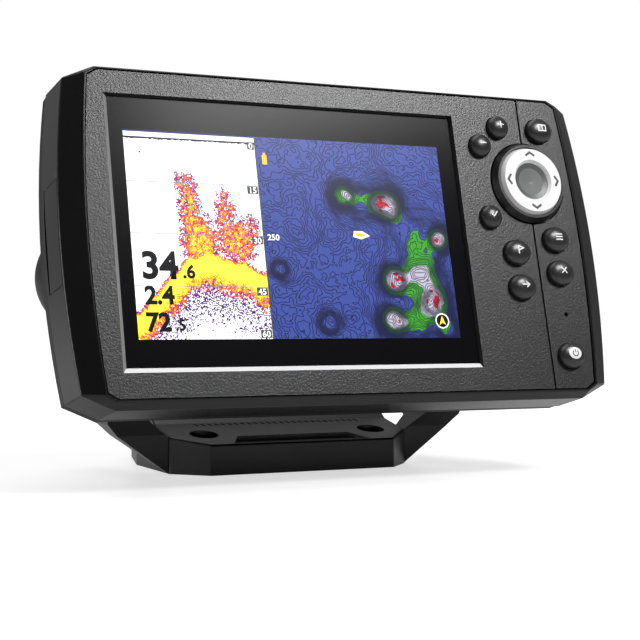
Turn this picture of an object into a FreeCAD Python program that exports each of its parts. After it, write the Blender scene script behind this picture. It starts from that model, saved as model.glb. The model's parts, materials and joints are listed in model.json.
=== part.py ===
import FreeCAD, Part
import math
import os

# Fish finder: a tilting display head carried between the two arms of a gimbal bracket.
# Row frame, millimetres: +X to the right, +Y to the back, +Z up, origin on the deck at the
# centre of the bracket's four screw holes.
# The head is drawn in its own frame, x to the right, y straight back from the faceplate's
# front, z up the face, origin at the faceplate's centre, and is then leaned back on its pivot.

V = FreeCAD.Vector
BACK = V(0, 1, 0)
ACROSS = V(1, 0, 0)
UP = V(0, 0, 1)

# ---------------------------------------------------------------- driving sizes
# display: a five inch panel
screen_width = 108.0
screen_height = 64.8
screen_x = -18.75
panel_border_x = 6.3
panel_border_z = 5.4
panel_thick = 1.4
backlight_thick = 2.6
frame_wall = 1.6

# window in the faceplate, and the lens behind it
window_margin_left = 4.4
window_margin_right = 6.0
window_margin_top = 10.5
window_margin_bottom = 8.5
window_bevel_left = 1.4
window_bevel_bottom = 1.6
window_bevel_thin = 0.4
lens_depth = 1.5
lens_thick = 1.2
lens_lap = 1.6

# faceplate outline: flat top and bottom, small cut corners, bowed sides
plate_mid_half = 85.8
plate_top_half = 82.9
plate_bottom_half = 83.4
plate_top = 50.4
plate_bottom = 50.0
plate_cut_x = 3.2
plate_cut_z = 1.9
plate_thick = 2.2
plate_gap = 0.35
divider_x = 68.0
divider_wide = 0.8
divider_deep = 0.6
pinhole_x = 76.3
pinhole_z = -24.9
pinhole_r = 0.75

# bezel: the glossy band round the faceplate and the housing's front half
rim_wide = 0.6
rim_proud = 0.3
band_side = 7.8
band_top_side = 6.9
band_bottom_side = 7.0
band_top = 2.0
band_bottom = 2.85
band_cut_top_x = 8.8
band_cut_top_z = 3.9
band_cut_bottom_x = 9.9
band_cut_bottom_z = 4.6
band_depth = 3.5
parting_depth = 18.8
side_draft = 0.05
bottom_draw = 0.2
shell_wall = 2.2
ledge_wide = 2.2
ledge_thick = 1.8
flange_wide = 6.4
flange_thick = 2.0
seal_inset = 4.0
seal_wide = 1.2
seal_deep = 1.0

# rear housing: a shallow back panel that steps in to a narrow block between the arms
parting_step = 0.35
strip_depth = 24.0
block_front_depth = 25.0
block_front_half = 56.0
block_front_top = 37.0
block_front_bottom = 40.0
block_rear_depth = 58.0
block_rear_half = 50.0
block_rear_top = 27.0
block_rear_bottom = 34.0
block_cut = 8.0
rib_count = 7
rib_pitch = 8.0
rib_proud = 1.0
rib_wide = 2.0
rib_low = 2.0

# tilt pivot
pivot_depth = 40.0
pivot_drop = 3.3
pivot_height = 64.35
pivot_ahead = 37.49
lean_deg = 14.0
boss_r = 11.0
boss_face_x = 58.0
boss_long = 13.0
insert_r = 6.5
insert_long = 11.5
stud_r = 3.0
stud_run_gap = 0.05
stud_long = 30.0
stud_tip = 0.5
arm_hole_gap = 0.3
tilt_washer_thick = 2.5
tilt_washer_r = 10.5
knob_washer_thick = 1.5
knob_washer_r = 9.0
knob_collar_r = 7.0
knob_collar_long = 3.5
knob_grip_r = 12.2
knob_grip_long = 19.5
knob_dome_r = 17.7
knob_shoulder = 1.0
knob_flutes = 10
knob_flute_r = 3.2
knob_flute_bite = 1.0

# gimbal bracket
arm_thick = 6.5
arm_round_r = 14.0
arm_foot_front = -27.0
arm_foot_rear = 5.0
arm_foot_high = 13.0
base_depth = 78.0
base_front_half = 33.9
base_half = 44.4
base_rear_half = 36.0
base_front_chamfer = 11.4
base_rear_chamfer = 32.0
base_front_high = 10.2
base_hole_high = 12.8
base_rib_high = 15.4
base_crest_high = 24.0
base_rear_high = 22.0
base_hole_crease_in = 14.0
base_rib_crease_in = 26.0
base_crest_front_in = 39.0
base_crest_rear_in = 11.0
base_edge_r = 0.8
band_edge_r = 0.9
flare_out_high = 12.8
flare_out_half = 61.9
outer_bend_low = 4.3
outer_bend_high = 9.5
outer_bend_in = 1.0
inner_bend_in = 9.0
inner_bend_low = 4.8
inner_bend_high = 14.5
foot_root_out = 0.4
foot_root_drop = 0.5
foot_heel_deep = 11.0
foot_heel_high = 16.5
foot_sole_deep = 7.0
foot_sole_high = 10.6
foot_toe_deep = 2.0
scoop_front_half = 25.9
scoop_back_half = 20.6
scoop_deep = 9.7
bolt_spacing_x = 63.0
bolt_spacing_y = 52.0
bolt_r = 2.3
bolt_head_r = 4.9
bolt_seat_high = 6.0
grip_slots = 26
grip_slot_pitch = 2.45
grip_slot_long = 2.2
grip_slot_wide = 0.9
grip_slot_deep = 0.7
grip_slot_inset = 1.0
grip_slot_turn = 25.0

# keys: name, across, up, half width, half height
small_key = 3.9
wide_key_x = 4.9
wide_key_z = 4.25
keys = {
    "key_plus": (58.7, 39.9, small_key, small_key),
    "key_minus": (50.9, 33.0, small_key, small_key),
    "key_check": (51.5, 8.1, small_key, small_key),
    "key_view": (75.2, 39.6, wide_key_x, wide_key_z),
    "key_menu": (75.8, 0.8, wide_key_x, wide_key_z),
    "key_mark": (59.8, -4.0, wide_key_x, wide_key_z),
    "key_goto": (60.0, -15.9, wide_key_x, wide_key_z),
    "key_exit": (75.9, -10.8, wide_key_x, wide_key_z),
    "key_power": (75.6, -39.2, wide_key_x, wide_key_z),
}
key_gap = 0.25
key_side_proud = 1.1
key_dome = 2.0
key_flange_lap = 0.9
key_flange_thick = 0.8
key_flange_gap = 0.1
key_travel = 0.8
key_rest_gap = 0.2

# cursor rocker
cursor_x = 68.1
cursor_z = 20.6
skirt_r = 14.0
skirt_gap = 0.45
skirt_top_r = 12.8
skirt_proud = 2.6
skirt_shoulder = 0.4
skirt_back_gap = 0.3
skirt_seat_gap = 0.05
skirt_lug_lap = 0.2
ring_out_r = 12.0
ring_crown_r = 11.0
ring_crown_proud = 3.9
ring_hole_r = 7.2
ring_throat_r = 6.4
ring_throat_proud = 2.9
ring_seat_proud = 1.6
pad_r = 6.3
pad_proud = 2.2
pad_dish = 0.5
yoke_depth = 4.8
yoke_thick = 1.4
yoke_r = 5.2
yoke_hole_r = 3.0
yoke_pin_r = 0.6
yoke_pin_gap = 0.05
yoke_ear_gap = 0.5
yoke_ear_thick = 1.3
yoke_ear_half = 1.5
cradle_r = 9.6
cradle_hole_r = 7.7
cradle_thick = 0.8

# keypad stack
keypad_left = 45.0
keypad_right = 80.6
keypad_half_high = 44.6
mat_thick = 1.2
guide_thick = 0.8
board_thick = 1.6
mat_gap = 0.3

# card door in the left side
door_low = -15.4
door_high = 17.0
door_front_gap = 0.7
door_gap = 0.2
door_bar = 1.8
door_wall = 2.2
door_pin_r = 0.6
door_pin_gap = 0.05
door_pin_inset = 1.4
door_pin_seat = 2.0
door_knuckle_r = 1.2
door_seal_thick = 0.9
door_seal_inset = 1.6
well_wall = 1.6
card_slot_long = 12.0
card_slot_wide = 1.4
card_socket_long = 14.0
card_socket_thick = 3.4

# electronics
main_board_width = 164.0
main_board_height = 76.0
main_board_depth = 11.8
post_r = 3.0
post_x = 62.0
post_z = 32.0
can_thick = 2.4
can_wall = 0.4
can_spans = ((-50.0, -8.0), (2.0, 46.0))
can_low = -24.0
can_high = 14.0
antenna_low = 17.0
screw_past_board = 5.0
screw_bite = 8.0
sonar_board_width = 88.0
sonar_board_height = 52.0
sonar_board_depth = 36.0
sonar_post_x = 40.0
sonar_post_z = 20.0
sonar_drop = 3.0
spreader_width = 72.0
spreader_height = 26.0
spreader_thick = 5.8
core_x = 15.0
core_z = 8.0
core_r = 12.5
core_hole_r = 2.0
capacitor_x = 28.0
capacitor_r = 5.0
capacitor_long = 12.0
antenna_side = 18.0
antenna_thick = 4.0
buzzer_r = 6.0
buzzer_long = 3.5

# rear sockets
socket_x = 13.0
socket_z = -16.0
socket_r = 8.0
socket_bore_r = 6.0
socket_bore_long = 9.0
socket_floor_r = 5.0
socket_floor_long = 4.0
socket_floor_thick = 1.5
socket_proud = 6.0
socket_flange_r = 9.6
socket_flange_thick = 1.5
socket_nut_r = 10.5
socket_nut_thick = 3.0
socket_pin_r = 0.5
socket_pin_ring_r = 2.6
socket_pin_count = 5
socket_fit = 0.1
socket_pin_tail = 1.5
socket_pin_short = 0.5

# case screws
screw_x = 83.0
screw_z = 41.5
screw_r = 1.25
screw_head_r = 2.6
screw_head_thick = 1.8
screw_boss_r = 2.9
screw_rear_boss_r = 3.9
screw_gap = 0.2
screw_slack = 0.05
screw_lap = 0.5
screw_seat_in = 1.0
screw_reach = 2.0
keypad_boss_r = 2.2
keypad_screw_places = ((48.5, 22.0), (48.5, -38.0), (68.0, -31.0))

# ---------------------------------------------------------------- derived places
window_left = screen_x - screen_width / 2 - window_margin_left
window_right = screen_x + screen_width / 2 + window_margin_right
window_top = screen_height / 2 + window_margin_top
window_bottom = -screen_height / 2 - window_margin_bottom
lens_back = lens_depth + lens_thick
ledge_back = plate_thick + ledge_thick
panel_back = lens_back + panel_thick
backlight_back = panel_back + backlight_thick
frame_back = backlight_back + frame_wall
key_flange_back = plate_thick + key_flange_gap + key_flange_thick
mat_front = key_flange_back + key_travel + key_rest_gap
mat_back = mat_front + mat_thick
guide_back = mat_back + guide_thick
keypad_board_back = guide_back + board_thick
main_board_back = main_board_depth + board_thick
can_back = main_board_back + can_thick
sonar_board_back = sonar_board_depth + board_thick
bezel_rear_grow = side_draft * (parting_depth - band_depth)
arm_inner_x = boss_face_x + tilt_washer_thick
arm_outer_x = arm_inner_x + arm_thick
knob_face_x = arm_outer_x + knob_washer_thick
panel_inner_depth = block_front_depth - shell_wall
block_inner_rear = block_rear_depth - shell_wall
door_pin_x = -(plate_mid_half + band_side + bezel_rear_grow) + door_pin_inset
door_rear = parting_depth - door_bar
door_pin_depth = door_rear - door_gap - door_pin_inset
well_face_x = door_pin_x + door_wall

plate_shape = dict(mid=plate_mid_half, top_half=plate_top_half, bottom_half=plate_bottom_half,
                   top=plate_top, bottom=plate_bottom, cut_top_x=plate_cut_x, cut_top_z=plate_cut_z,
                   cut_bottom_x=plate_cut_x, cut_bottom_z=plate_cut_z)
band_shape = dict(mid=plate_mid_half + band_side, top_half=plate_top_half + band_top_side,
                  bottom_half=plate_bottom_half + band_bottom_side,
                  top=plate_top + band_top, bottom=plate_bottom + band_bottom,
                  cut_top_x=band_cut_top_x, cut_top_z=band_cut_top_z,
                  cut_bottom_x=band_cut_bottom_x, cut_bottom_z=band_cut_bottom_z)
bezel_rear_shape = dict(mid=band_shape["mid"] + bezel_rear_grow,
                        top_half=band_shape["top_half"] + bezel_rear_grow,
                        bottom_half=band_shape["bottom_half"] + bezel_rear_grow,
                        top=band_shape["top"] + bezel_rear_grow, bottom=band_shape["bottom"] - bottom_draw,
                        cut_top_x=band_cut_top_x, cut_top_z=band_cut_top_z,
                        cut_bottom_x=band_cut_bottom_x, cut_bottom_z=band_cut_bottom_z)
block_front_shape = dict(mid=block_front_half, top_half=block_front_half, bottom_half=block_front_half,
                         top=block_front_top, bottom=block_front_bottom, cut_top_x=block_cut,
                         cut_top_z=block_cut, cut_bottom_x=block_cut, cut_bottom_z=block_cut)
block_rear_shape = dict(mid=block_rear_half, top_half=block_rear_half, bottom_half=block_rear_half,
                        top=block_rear_top, bottom=block_rear_bottom, cut_top_x=block_cut,
                        cut_top_z=block_cut, cut_bottom_x=block_cut, cut_bottom_z=block_cut)


# ---------------------------------------------------------------- helpers
def grown(shape, amount):
    """The same outline, moved outward by amount all round."""
    bigger = dict(shape)
    for name in ("mid", "top_half", "bottom_half", "top", "bottom"):
        bigger[name] += amount
    return bigger


def outline(shape, depth):
    """Closed wire at a depth: flat top and bottom, cut corners, sides bowed as arcs."""
    top = shape["top"]
    bottom = -shape["bottom"]
    corners = []
    for side in (1, -1):
        corners.append([
            V(side * (shape["top_half"] - shape["cut_top_x"]), depth, top),
            V(side * shape["top_half"], depth, top - shape["cut_top_z"]),
            V(side * shape["mid"], depth, (top + bottom) / 2),
            V(side * shape["bottom_half"], depth, bottom + shape["cut_bottom_z"]),
            V(side * (shape["bottom_half"] - shape["cut_bottom_x"]), depth, bottom)])
    right, left = corners
    edges = [Part.makeLine(left[0], right[0]), Part.makeLine(right[0], right[1])]
    edges.append(bowed(right[1], right[2], right[3]))
    edges += [Part.makeLine(right[3], right[4]), Part.makeLine(right[4], left[4])]
    edges.append(Part.makeLine(left[4], left[3]))
    edges.append(bowed(left[3], left[2], left[1]))
    edges.append(Part.makeLine(left[1], left[0]))
    return Part.Wire(edges)


def bowed(start, middle, end):
    """An arc through three points, or a straight edge where they are in line."""
    if (middle - start).cross(end - start).Length < 1e-6:
        return Part.makeLine(start, end)
    return Part.Arc(start, middle, end).toShape()


def prism(shape, front, back):
    """An outline extruded straight back."""
    return Part.Face(outline(shape, front)).extrude(V(0, back - front, 0))


def stack(*sections):
    """A ruled solid through several outlines, each given as (shape, depth)."""
    return Part.makeLoft([outline(shape, depth) for shape, depth in sections], True, True)


def box(low_x, high_x, low_y, high_y, low_z, high_z):
    return Part.makeBox(high_x - low_x, high_y - low_y, high_z - low_z, V(low_x, low_y, low_z))


def rod(radius, start, direction, length):
    return Part.makeCylinder(radius, length, start, direction)


def polygon_prism(points, sweep):
    """A flat polygon, given as vectors, swept along a vector."""
    return Part.Face(Part.makePolygon(list(points) + [points[0]])).extrude(sweep)


def oval(half_x, half_z, x, z, front, back):
    """An elliptical or round post running straight back."""
    if abs(half_x - half_z) < 1e-6:
        return rod(half_x, V(x, front, z), BACK, back - front)
    if half_x > half_z:
        curve = Part.Ellipse(V(x + half_x, front, z), V(x, front, z + half_z), V(x, front, z))
    else:
        curve = Part.Ellipse(V(x, front, z + half_z), V(x + half_x, front, z), V(x, front, z))
    return Part.Face(Part.Wire(curve.toShape())).extrude(V(0, back - front, 0))


def turned(profile, x, z):
    """Revolve (radius, depth) points about the straight-back axis through x, z."""
    points = [V(x + radius, depth, z) for radius, depth in profile]
    face = Part.Face(Part.makePolygon(points + [points[0]]))
    return face.revolve(V(x, 0, z), BACK, 360)


def turned_across(profile, side):
    """Revolve (distance out, radius) points about the tilt axis, on one side of the head."""
    centre = V(0, pivot_depth, -pivot_drop)
    points = [centre + V(side * out, radius, 0) for out, radius in profile]
    face = Part.Face(Part.makePolygon(points + [points[0]]))
    return face.revolve(centre, ACROSS, 360)


def highest(edge):
    return max(vertex.Point.z for vertex in edge.Vertexes)


def foremost(edge):
    return min(vertex.Point.y for vertex in edge.Vertexes)


def group(solids):
    return Part.makeCompound(solids)


pivot_row = V(0, -pivot_ahead, pivot_height)


def leaned(shape):
    """Carry a shape from the head's frame into the row frame."""
    moved = shape.copy()
    moved.translate(V(0, -pivot_depth, pivot_drop))
    moved.rotate(V(0, 0, 0), ACROSS, -lean_deg)
    moved.translate(pivot_row)
    return moved


def save(name, shape):
    shape.exportStep("parts/" + name + ".step")


def save_head(name, shape):
    save(name, leaned(shape))


# ---------------------------------------------------------------- gimbal bracket
def base_block():
    front = -base_depth / 2
    rear = base_depth / 2
    side = [
        V(-base_half, front, 0),
        V(-base_half, front, base_front_high),
        V(-base_half, front + base_hole_crease_in, base_hole_high),
        V(-base_half, front + base_rib_crease_in, base_rib_high),
        V(-base_half, rear - base_crest_front_in, base_crest_high),
        V(-base_half, rear - base_crest_rear_in, base_crest_high),
        V(-base_half, rear, base_rear_high),
        V(-base_half, rear, 0)]
    block = polygon_prism(side, V(2 * base_half, 0, 0))
    plan = [
        V(-base_front_half, front, 0), V(base_front_half, front, 0),
        V(base_half, front + base_front_chamfer, 0), V(base_half, rear - base_rear_chamfer, 0),
        V(base_rear_half, rear, 0), V(-base_rear_half, rear, 0),
        V(-base_half, rear - base_rear_chamfer, 0), V(-base_half, front + base_front_chamfer, 0)]
    block = block.common(polygon_prism(plan, V(0, 0, base_crest_high + 1)))
    return block.makeFillet(base_edge_r, [edge for edge in block.Edges if highest(edge) > 0])


def arm(side):
    """One arm: it flares out of the base, then stands up and leans forward to the pivot."""
    top = pivot_height + arm_round_r
    front_view = [
        V(0, 0, 0), V(base_half, 0, 0), V(flare_out_half, 0, flare_out_high),
        V(arm_outer_x - outer_bend_in, 0, flare_out_high + outer_bend_low),
        V(arm_outer_x, 0, flare_out_high + outer_bend_high), V(arm_outer_x, 0, top),
        V(arm_inner_x, 0, top), V(arm_inner_x, 0, flare_out_high + inner_bend_high),
        V(arm_inner_x - inner_bend_in, 0, flare_out_high + inner_bend_low),
        V(base_half + foot_root_out, 0, flare_out_high - foot_root_drop),
        V(0, 0, flare_out_high - foot_root_drop)]
    front_view = [V(side * point.x, arm_foot_front - base_depth, point.z) for point in front_view]
    strap = polygon_prism(front_view, V(0, 3 * base_depth, 0))
    foot_middle = V(0, (arm_foot_front + arm_foot_rear) / 2, arm_foot_high)
    along = (foot_middle - pivot_row).normalize()
    across = V(0, -along.z, along.y) * arm_round_r
    side_view = [
        V(0, arm_foot_front, 0), V(0, arm_foot_front, arm_foot_high), pivot_row - across,
        pivot_row + across, V(0, arm_foot_rear, foot_heel_high + foot_heel_deep / 2),
        V(0, arm_foot_front + foot_heel_deep, foot_heel_high),
        V(0, arm_foot_front + foot_sole_deep, foot_sole_high), V(0, arm_foot_front + foot_toe_deep, 0)]
    reach = arm_outer_x + 1
    side_view = [V(0 if side > 0 else -reach, point.y, point.z) for point in side_view]
    profile = polygon_prism(side_view, V(reach, 0, 0))
    profile = profile.fuse(rod(arm_round_r, V(side_view[0].x, pivot_row.y, pivot_row.z), ACROSS, reach))
    return strap.common(profile)


def mount_bracket():
    bracket = base_block().fuse(arm(1)).fuse(arm(-1)).removeSplitter()
    hole = stud_r + arm_hole_gap
    reach = arm_outer_x + 1
    bracket = bracket.cut(rod(hole, V(-reach, pivot_row.y, pivot_row.z), ACROSS, 2 * reach))
    front = -base_depth / 2
    scoop = []
    for side in (-1, 1):
        corners = [(scoop_back_half, front + scoop_deep), (scoop_front_half, front),
                   (scoop_front_half, front - 1)]
        scoop += [V(side * half, depth, base_front_high) for half, depth in corners[::-side]]
    bracket = bracket.cut(polygon_prism(scoop, V(0, 0, base_crest_high)))
    for x in (-bolt_spacing_x / 2, bolt_spacing_x / 2):
        for y in (-bolt_spacing_y / 2, bolt_spacing_y / 2):
            bracket = bracket.cut(rod(bolt_r, V(x, y, -1), UP, base_crest_high + 2))
            bracket = bracket.cut(rod(bolt_head_r, V(x, y, bolt_seat_high), UP, base_crest_high))
    rise = math.atan2(base_rib_high - base_hole_high, base_rib_crease_in - base_hole_crease_in)
    grip_y = front + base_rib_crease_in - grip_slot_inset
    for index in range(grip_slots):
        x = (index - (grip_slots - 1) / 2) * grip_slot_pitch
        slot = box(-grip_slot_wide / 2, grip_slot_wide / 2, -grip_slot_long, 0, -grip_slot_deep, 2)
        slot.rotate(V(0, 0, 0), UP, grip_slot_turn)
        slot.rotate(V(0, 0, 0), ACROSS, math.degrees(rise))
        slot.translate(V(x, grip_y, base_rib_high - grip_slot_inset * math.tan(rise)))
        bracket = bracket.cut(slot)
    return bracket


# ---------------------------------------------------------------- front of the head
def bezel_block():
    rim = grown(plate_shape, plate_gap + rim_wide)
    return stack((rim, -rim_proud), (band_shape, band_depth), (bezel_rear_shape, parting_depth))


def bezel_outer():
    body = bezel_block()
    return body.makeFillet(band_edge_r, [edge for edge in body.Edges if foremost(edge) < parting_depth])


def case_screw_places():
    return [(x, z) for x in (-screw_x, screw_x) for z in (-screw_z, screw_z)]


def outer_bezel():
    bezel = bezel_outer()
    cavity = prism(grown(plate_shape, plate_gap), -2 * rim_proud, plate_thick)
    cavity = cavity.fuse(prism(grown(plate_shape, -ledge_wide), plate_thick - 0.1, ledge_back + 0.1))
    hollow = grown(band_shape, -shell_wall)
    cavity = cavity.fuse(prism(hollow, ledge_back, parting_depth - flange_thick))
    cavity = cavity.fuse(prism(grown(band_shape, -flange_wide), ledge_back, parting_depth + 1))
    bezel = bezel.cut(cavity)
    for x, z in case_screw_places():
        bezel = bezel.fuse(rod(screw_boss_r, V(x, ledge_back, z), BACK, parting_depth - ledge_back))
    bezel = bezel.fuse(card_well())
    for x, z in case_screw_places():
        bezel = bezel.cut(rod(screw_r, V(x, ledge_back + 1, z), BACK, parting_depth))
    bezel = bezel.cut(door_opening())
    bezel = bezel.cut(rod(door_pin_r, door_pin_start(), UP, door_pin_length()))
    return bezel


def card_well():
    """The wall behind the door, with a slot for each of the two memory cards."""
    wall = box(well_face_x, well_face_x + well_wall, ledge_back - 0.2, parting_depth - flange_thick + 0.2,
               door_low - shell_wall, door_high + shell_wall)
    for end in (door_low, door_high):
        low, high = sorted((end, end + math.copysign(shell_wall, end)))
        wall = wall.fuse(box(door_pin_x - 0.2, well_face_x + well_wall, ledge_back - 0.2,
                             parting_depth - flange_thick + 0.2, low, high))
    for z in card_slot_places():
        wall = wall.cut(card_slot(well_face_x - 1, well_face_x + well_wall + 1, z))
    return wall


def card_slot(left, right, z):
    front = card_depth() - card_slot_wide / 2
    return box(left, right, front, front + card_slot_wide, z - card_slot_long / 2, z + card_slot_long / 2)


def card_slot_places():
    middle = (door_low + door_high) / 2
    step = (door_high - door_low) / 4
    return (middle - step, middle + step)


def card_depth():
    """Depth of the cards' mid plane: the socket lies on the front of the main board."""
    return main_board_depth - card_socket_thick / 2


def door_opening():
    outside = -(plate_mid_half + band_side + 5)
    return box(outside, well_face_x, band_depth + door_front_gap, door_rear, door_low, door_high)


def door_pin_start():
    return V(door_pin_x, door_pin_depth, door_low - door_pin_seat)


def door_pin_length():
    return door_high - door_low + 2 * door_pin_seat


def card_door_pin():
    return rod(door_pin_r, door_pin_start(), UP, door_pin_length())


def card_door():
    outer = bezel_block()
    low = door_low + door_gap
    high = door_high - door_gap
    front = band_depth + door_front_gap + door_gap
    face = door_pin_x + door_wall - door_pin_inset
    leaf = box(door_pin_x - 3 * door_knuckle_r, face, front, door_pin_depth, low, high)
    knuckle = rod(door_knuckle_r, V(door_pin_x, door_pin_depth, low), UP, high - low)
    door = outer.common(leaf).fuse(outer.common(knuckle))
    bore_start = V(door_pin_x, door_pin_depth, low - 1)
    return door.cut(rod(door_pin_r + door_pin_gap, bore_start, UP, high - low + 2))


def card_door_seal():
    face = door_pin_x + door_wall - door_pin_inset
    front = band_depth + door_front_gap + door_gap + door_seal_inset
    rear = door_pin_depth - 2 * door_knuckle_r
    return box(face, face + door_seal_thick, front, rear,
               door_low + door_seal_inset, door_high - door_seal_inset)


def card_socket():
    low, high = card_slot_places()
    body = box(well_face_x + well_wall, well_face_x + well_wall + card_socket_long,
               main_board_depth - card_socket_thick, main_board_depth,
               low - card_slot_long / 2 - 1, high + card_slot_long / 2 + 1)
    for z in (low, high):
        body = body.cut(card_slot(well_face_x, well_face_x + well_wall + card_socket_long - 1, z))
    return body


def rectangle(left, right, low, high, depth):
    return Part.makePolygon([V(left, depth, low), V(right, depth, low), V(right, depth, high),
                             V(left, depth, high), V(left, depth, low)])


def window_cut():
    """The window's opening, with its bevelled sides, and the pocket for the lens behind it."""
    mouth = rectangle(window_left - window_bevel_left, window_right + window_bevel_thin,
                      window_bottom - window_bevel_bottom, window_top + window_bevel_thin, 0)
    throat = rectangle(window_left, window_right, window_bottom, window_top, lens_depth)
    opening = Part.makeLoft([mouth, throat], True, True)
    pocket = box(window_left - lens_lap, window_right + lens_lap, lens_depth, plate_thick + 1,
                 window_bottom - lens_lap, window_top + lens_lap)
    return opening.fuse(pocket)


def faceplate():
    plate = prism(plate_shape, 0, plate_thick)
    plate = plate.cut(window_cut())
    for x, z, half_x, half_z in keys.values():
        plate = plate.cut(oval(half_x + key_gap, half_z + key_gap, x, z, -1, plate_thick + 1))
    plate = plate.cut(rod(skirt_r + skirt_gap, V(cursor_x, -1, cursor_z), BACK, plate_thick + 2))
    plate = plate.cut(rod(pinhole_r, V(pinhole_x, -1, pinhole_z), BACK, plate_thick + 2))
    groove = box(divider_x - divider_wide / 2, divider_x + divider_wide / 2, -1, divider_deep,
                 -plate_bottom - 1, plate_top + 1)
    plate = plate.cut(groove)
    for x, z in keypad_screw_places:
        boss = rod(keypad_boss_r, V(x, plate_thick, z), BACK, guide_back - plate_thick)
        plate = plate.fuse(boss.cut(rod(screw_r, V(x, plate_thick, z), BACK, guide_back)))
    return plate


def cover_glass():
    clear = 0.1
    return box(window_left - lens_lap + clear, window_right + lens_lap - clear, lens_depth, lens_back,
               window_bottom - lens_lap + clear, window_top + lens_lap - clear)


def panel_box(grow, front, back):
    half_x = screen_width / 2 + panel_border_x + grow
    half_z = screen_height / 2 + panel_border_z + grow
    return box(screen_x - half_x, screen_x + half_x, front, back, -half_z, half_z)


def lcd_panel():
    return panel_box(0, lens_back, panel_back)


def backlight():
    return panel_box(0, panel_back, backlight_back)


def lcd_frame():
    """A tray that holds the panel and the backlight against the lens."""
    clear = 0.1
    tray = panel_box(clear + frame_wall, lens_back, frame_back)
    return tray.cut(panel_box(clear, lens_back - 1, backlight_back))


# ---------------------------------------------------------------- keys and cursor
def key(name):
    x, z, half_x, half_z = keys[name]
    post = oval(half_x, half_z, x, z, -key_side_proud, key_flange_back)
    flange = oval(half_x + key_flange_lap, half_z + key_flange_lap, x, z,
                  plate_thick + key_flange_gap, key_flange_back)
    dome = Part.makeSphere(1.0, V(0, 0, 0), V(0, -1, 0), 0, 90, 360)
    stretch = FreeCAD.Matrix()
    stretch.scale(half_x, key_dome, half_z)
    dome = dome.transformGeometry(stretch)
    dome.translate(V(x, -key_side_proud, z))
    return post.fuse(flange).fuse(dome)


def keypad_blank(front, back):
    """A keypad layer, notched round the case screws' bosses."""
    blank = box(keypad_left, keypad_right, front, back, -keypad_half_high, keypad_half_high)
    for x, z in case_screw_places():
        blank = blank.cut(rod(screw_boss_r + mat_gap, V(x, front - 1, z), BACK, back - front + 2))
    return blank


def keypad_sheet(front, back):
    """A soft layer of the keypad, open round the cursor's pivot and the faceplate's bosses."""
    sheet = keypad_blank(front, back)
    for x, z in keypad_screw_places:
        sheet = sheet.cut(rod(keypad_boss_r + mat_gap, V(x, front - 1, z), BACK, back - front + 2))
    return sheet.cut(rod(cradle_r + mat_gap, V(cursor_x, front - 1, cursor_z), BACK, back - front + 2))


def keypad_board():
    board = keypad_blank(guide_back, keypad_board_back)
    for x, z in keypad_screw_places:
        board = board.cut(rod(screw_r, V(x, guide_back - 1, z), BACK, board_thick + 2))
    return board


def keypad_screws():
    """Three screws that hold the keypad stack to the faceplate's bosses."""
    screws = []
    for x, z in keypad_screw_places:
        head = rod(screw_head_r, V(x, keypad_board_back, z), BACK, screw_head_thick)
        shank = rod(screw_r - screw_slack, V(x, plate_thick + 1, z), BACK, keypad_board_back - plate_thick)
        screws.append(head.fuse(shank))
    return group(screws)


def cursor_skirt():
    """The black disc of the cursor, with two lugs that hang on the yoke."""
    back = plate_thick + skirt_back_gap
    seat_r = ring_out_r + skirt_seat_gap
    disc = turned([(0, back), (skirt_r, back), (skirt_r, -skirt_shoulder), (skirt_top_r, -skirt_proud),
                   (seat_r, -skirt_proud), (seat_r, -ring_seat_proud), (0, -ring_seat_proud)],
                  cursor_x, cursor_z)
    for side in (1, -1):
        near = yoke_r + yoke_ear_gap
        low, high = sorted((side * near, side * (near + yoke_ear_thick)))
        disc = disc.fuse(box(cursor_x - yoke_ear_half, cursor_x + yoke_ear_half, plate_thick,
                             yoke_depth + yoke_thick / 2, cursor_z + low, cursor_z + high))
        start = V(cursor_x, yoke_depth, cursor_z + side * (near + skirt_lug_lap))
        length = near + skirt_lug_lap - yoke_hole_r - skirt_back_gap
        disc = disc.fuse(rod(yoke_pin_r, start, V(0, 0, -side), length))
    return disc


def cursor_ring():
    return turned([(ring_out_r, -ring_seat_proud), (ring_crown_r, -ring_crown_proud),
                   (ring_hole_r, -ring_crown_proud), (ring_throat_r, -ring_throat_proud),
                   (ring_throat_r, -ring_seat_proud)], cursor_x, cursor_z)


def cursor_pad():
    return turned([(0, -ring_seat_proud), (pad_r, -ring_seat_proud), (pad_r, -pad_proud - pad_dish),
                   (pad_r * 0.75, -pad_proud - 0.1), (0, -pad_proud)], cursor_x, cursor_z)


def cursor_yoke():
    """A small ring: its own pins run in the cradle, and the skirt's pins run in it."""
    front = yoke_depth - yoke_thick / 2
    yoke = rod(yoke_r, V(cursor_x, front, cursor_z), BACK, yoke_thick)
    yoke = yoke.cut(rod(yoke_hole_r, V(cursor_x, front - 1, cursor_z), BACK, yoke_thick + 2))
    reach = yoke_r + yoke_ear_gap + yoke_ear_thick - 0.1
    for side in (1, -1):
        yoke = yoke.fuse(rod(yoke_pin_r, V(cursor_x + side * (yoke_hole_r + 0.5), yoke_depth, cursor_z),
                             V(side, 0, 0), reach - yoke_hole_r - 0.5))
    return yoke.cut(rod(yoke_pin_r + yoke_pin_gap, V(cursor_x, yoke_depth, cursor_z - yoke_r - 1), UP,
                        2 * yoke_r + 2))


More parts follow.
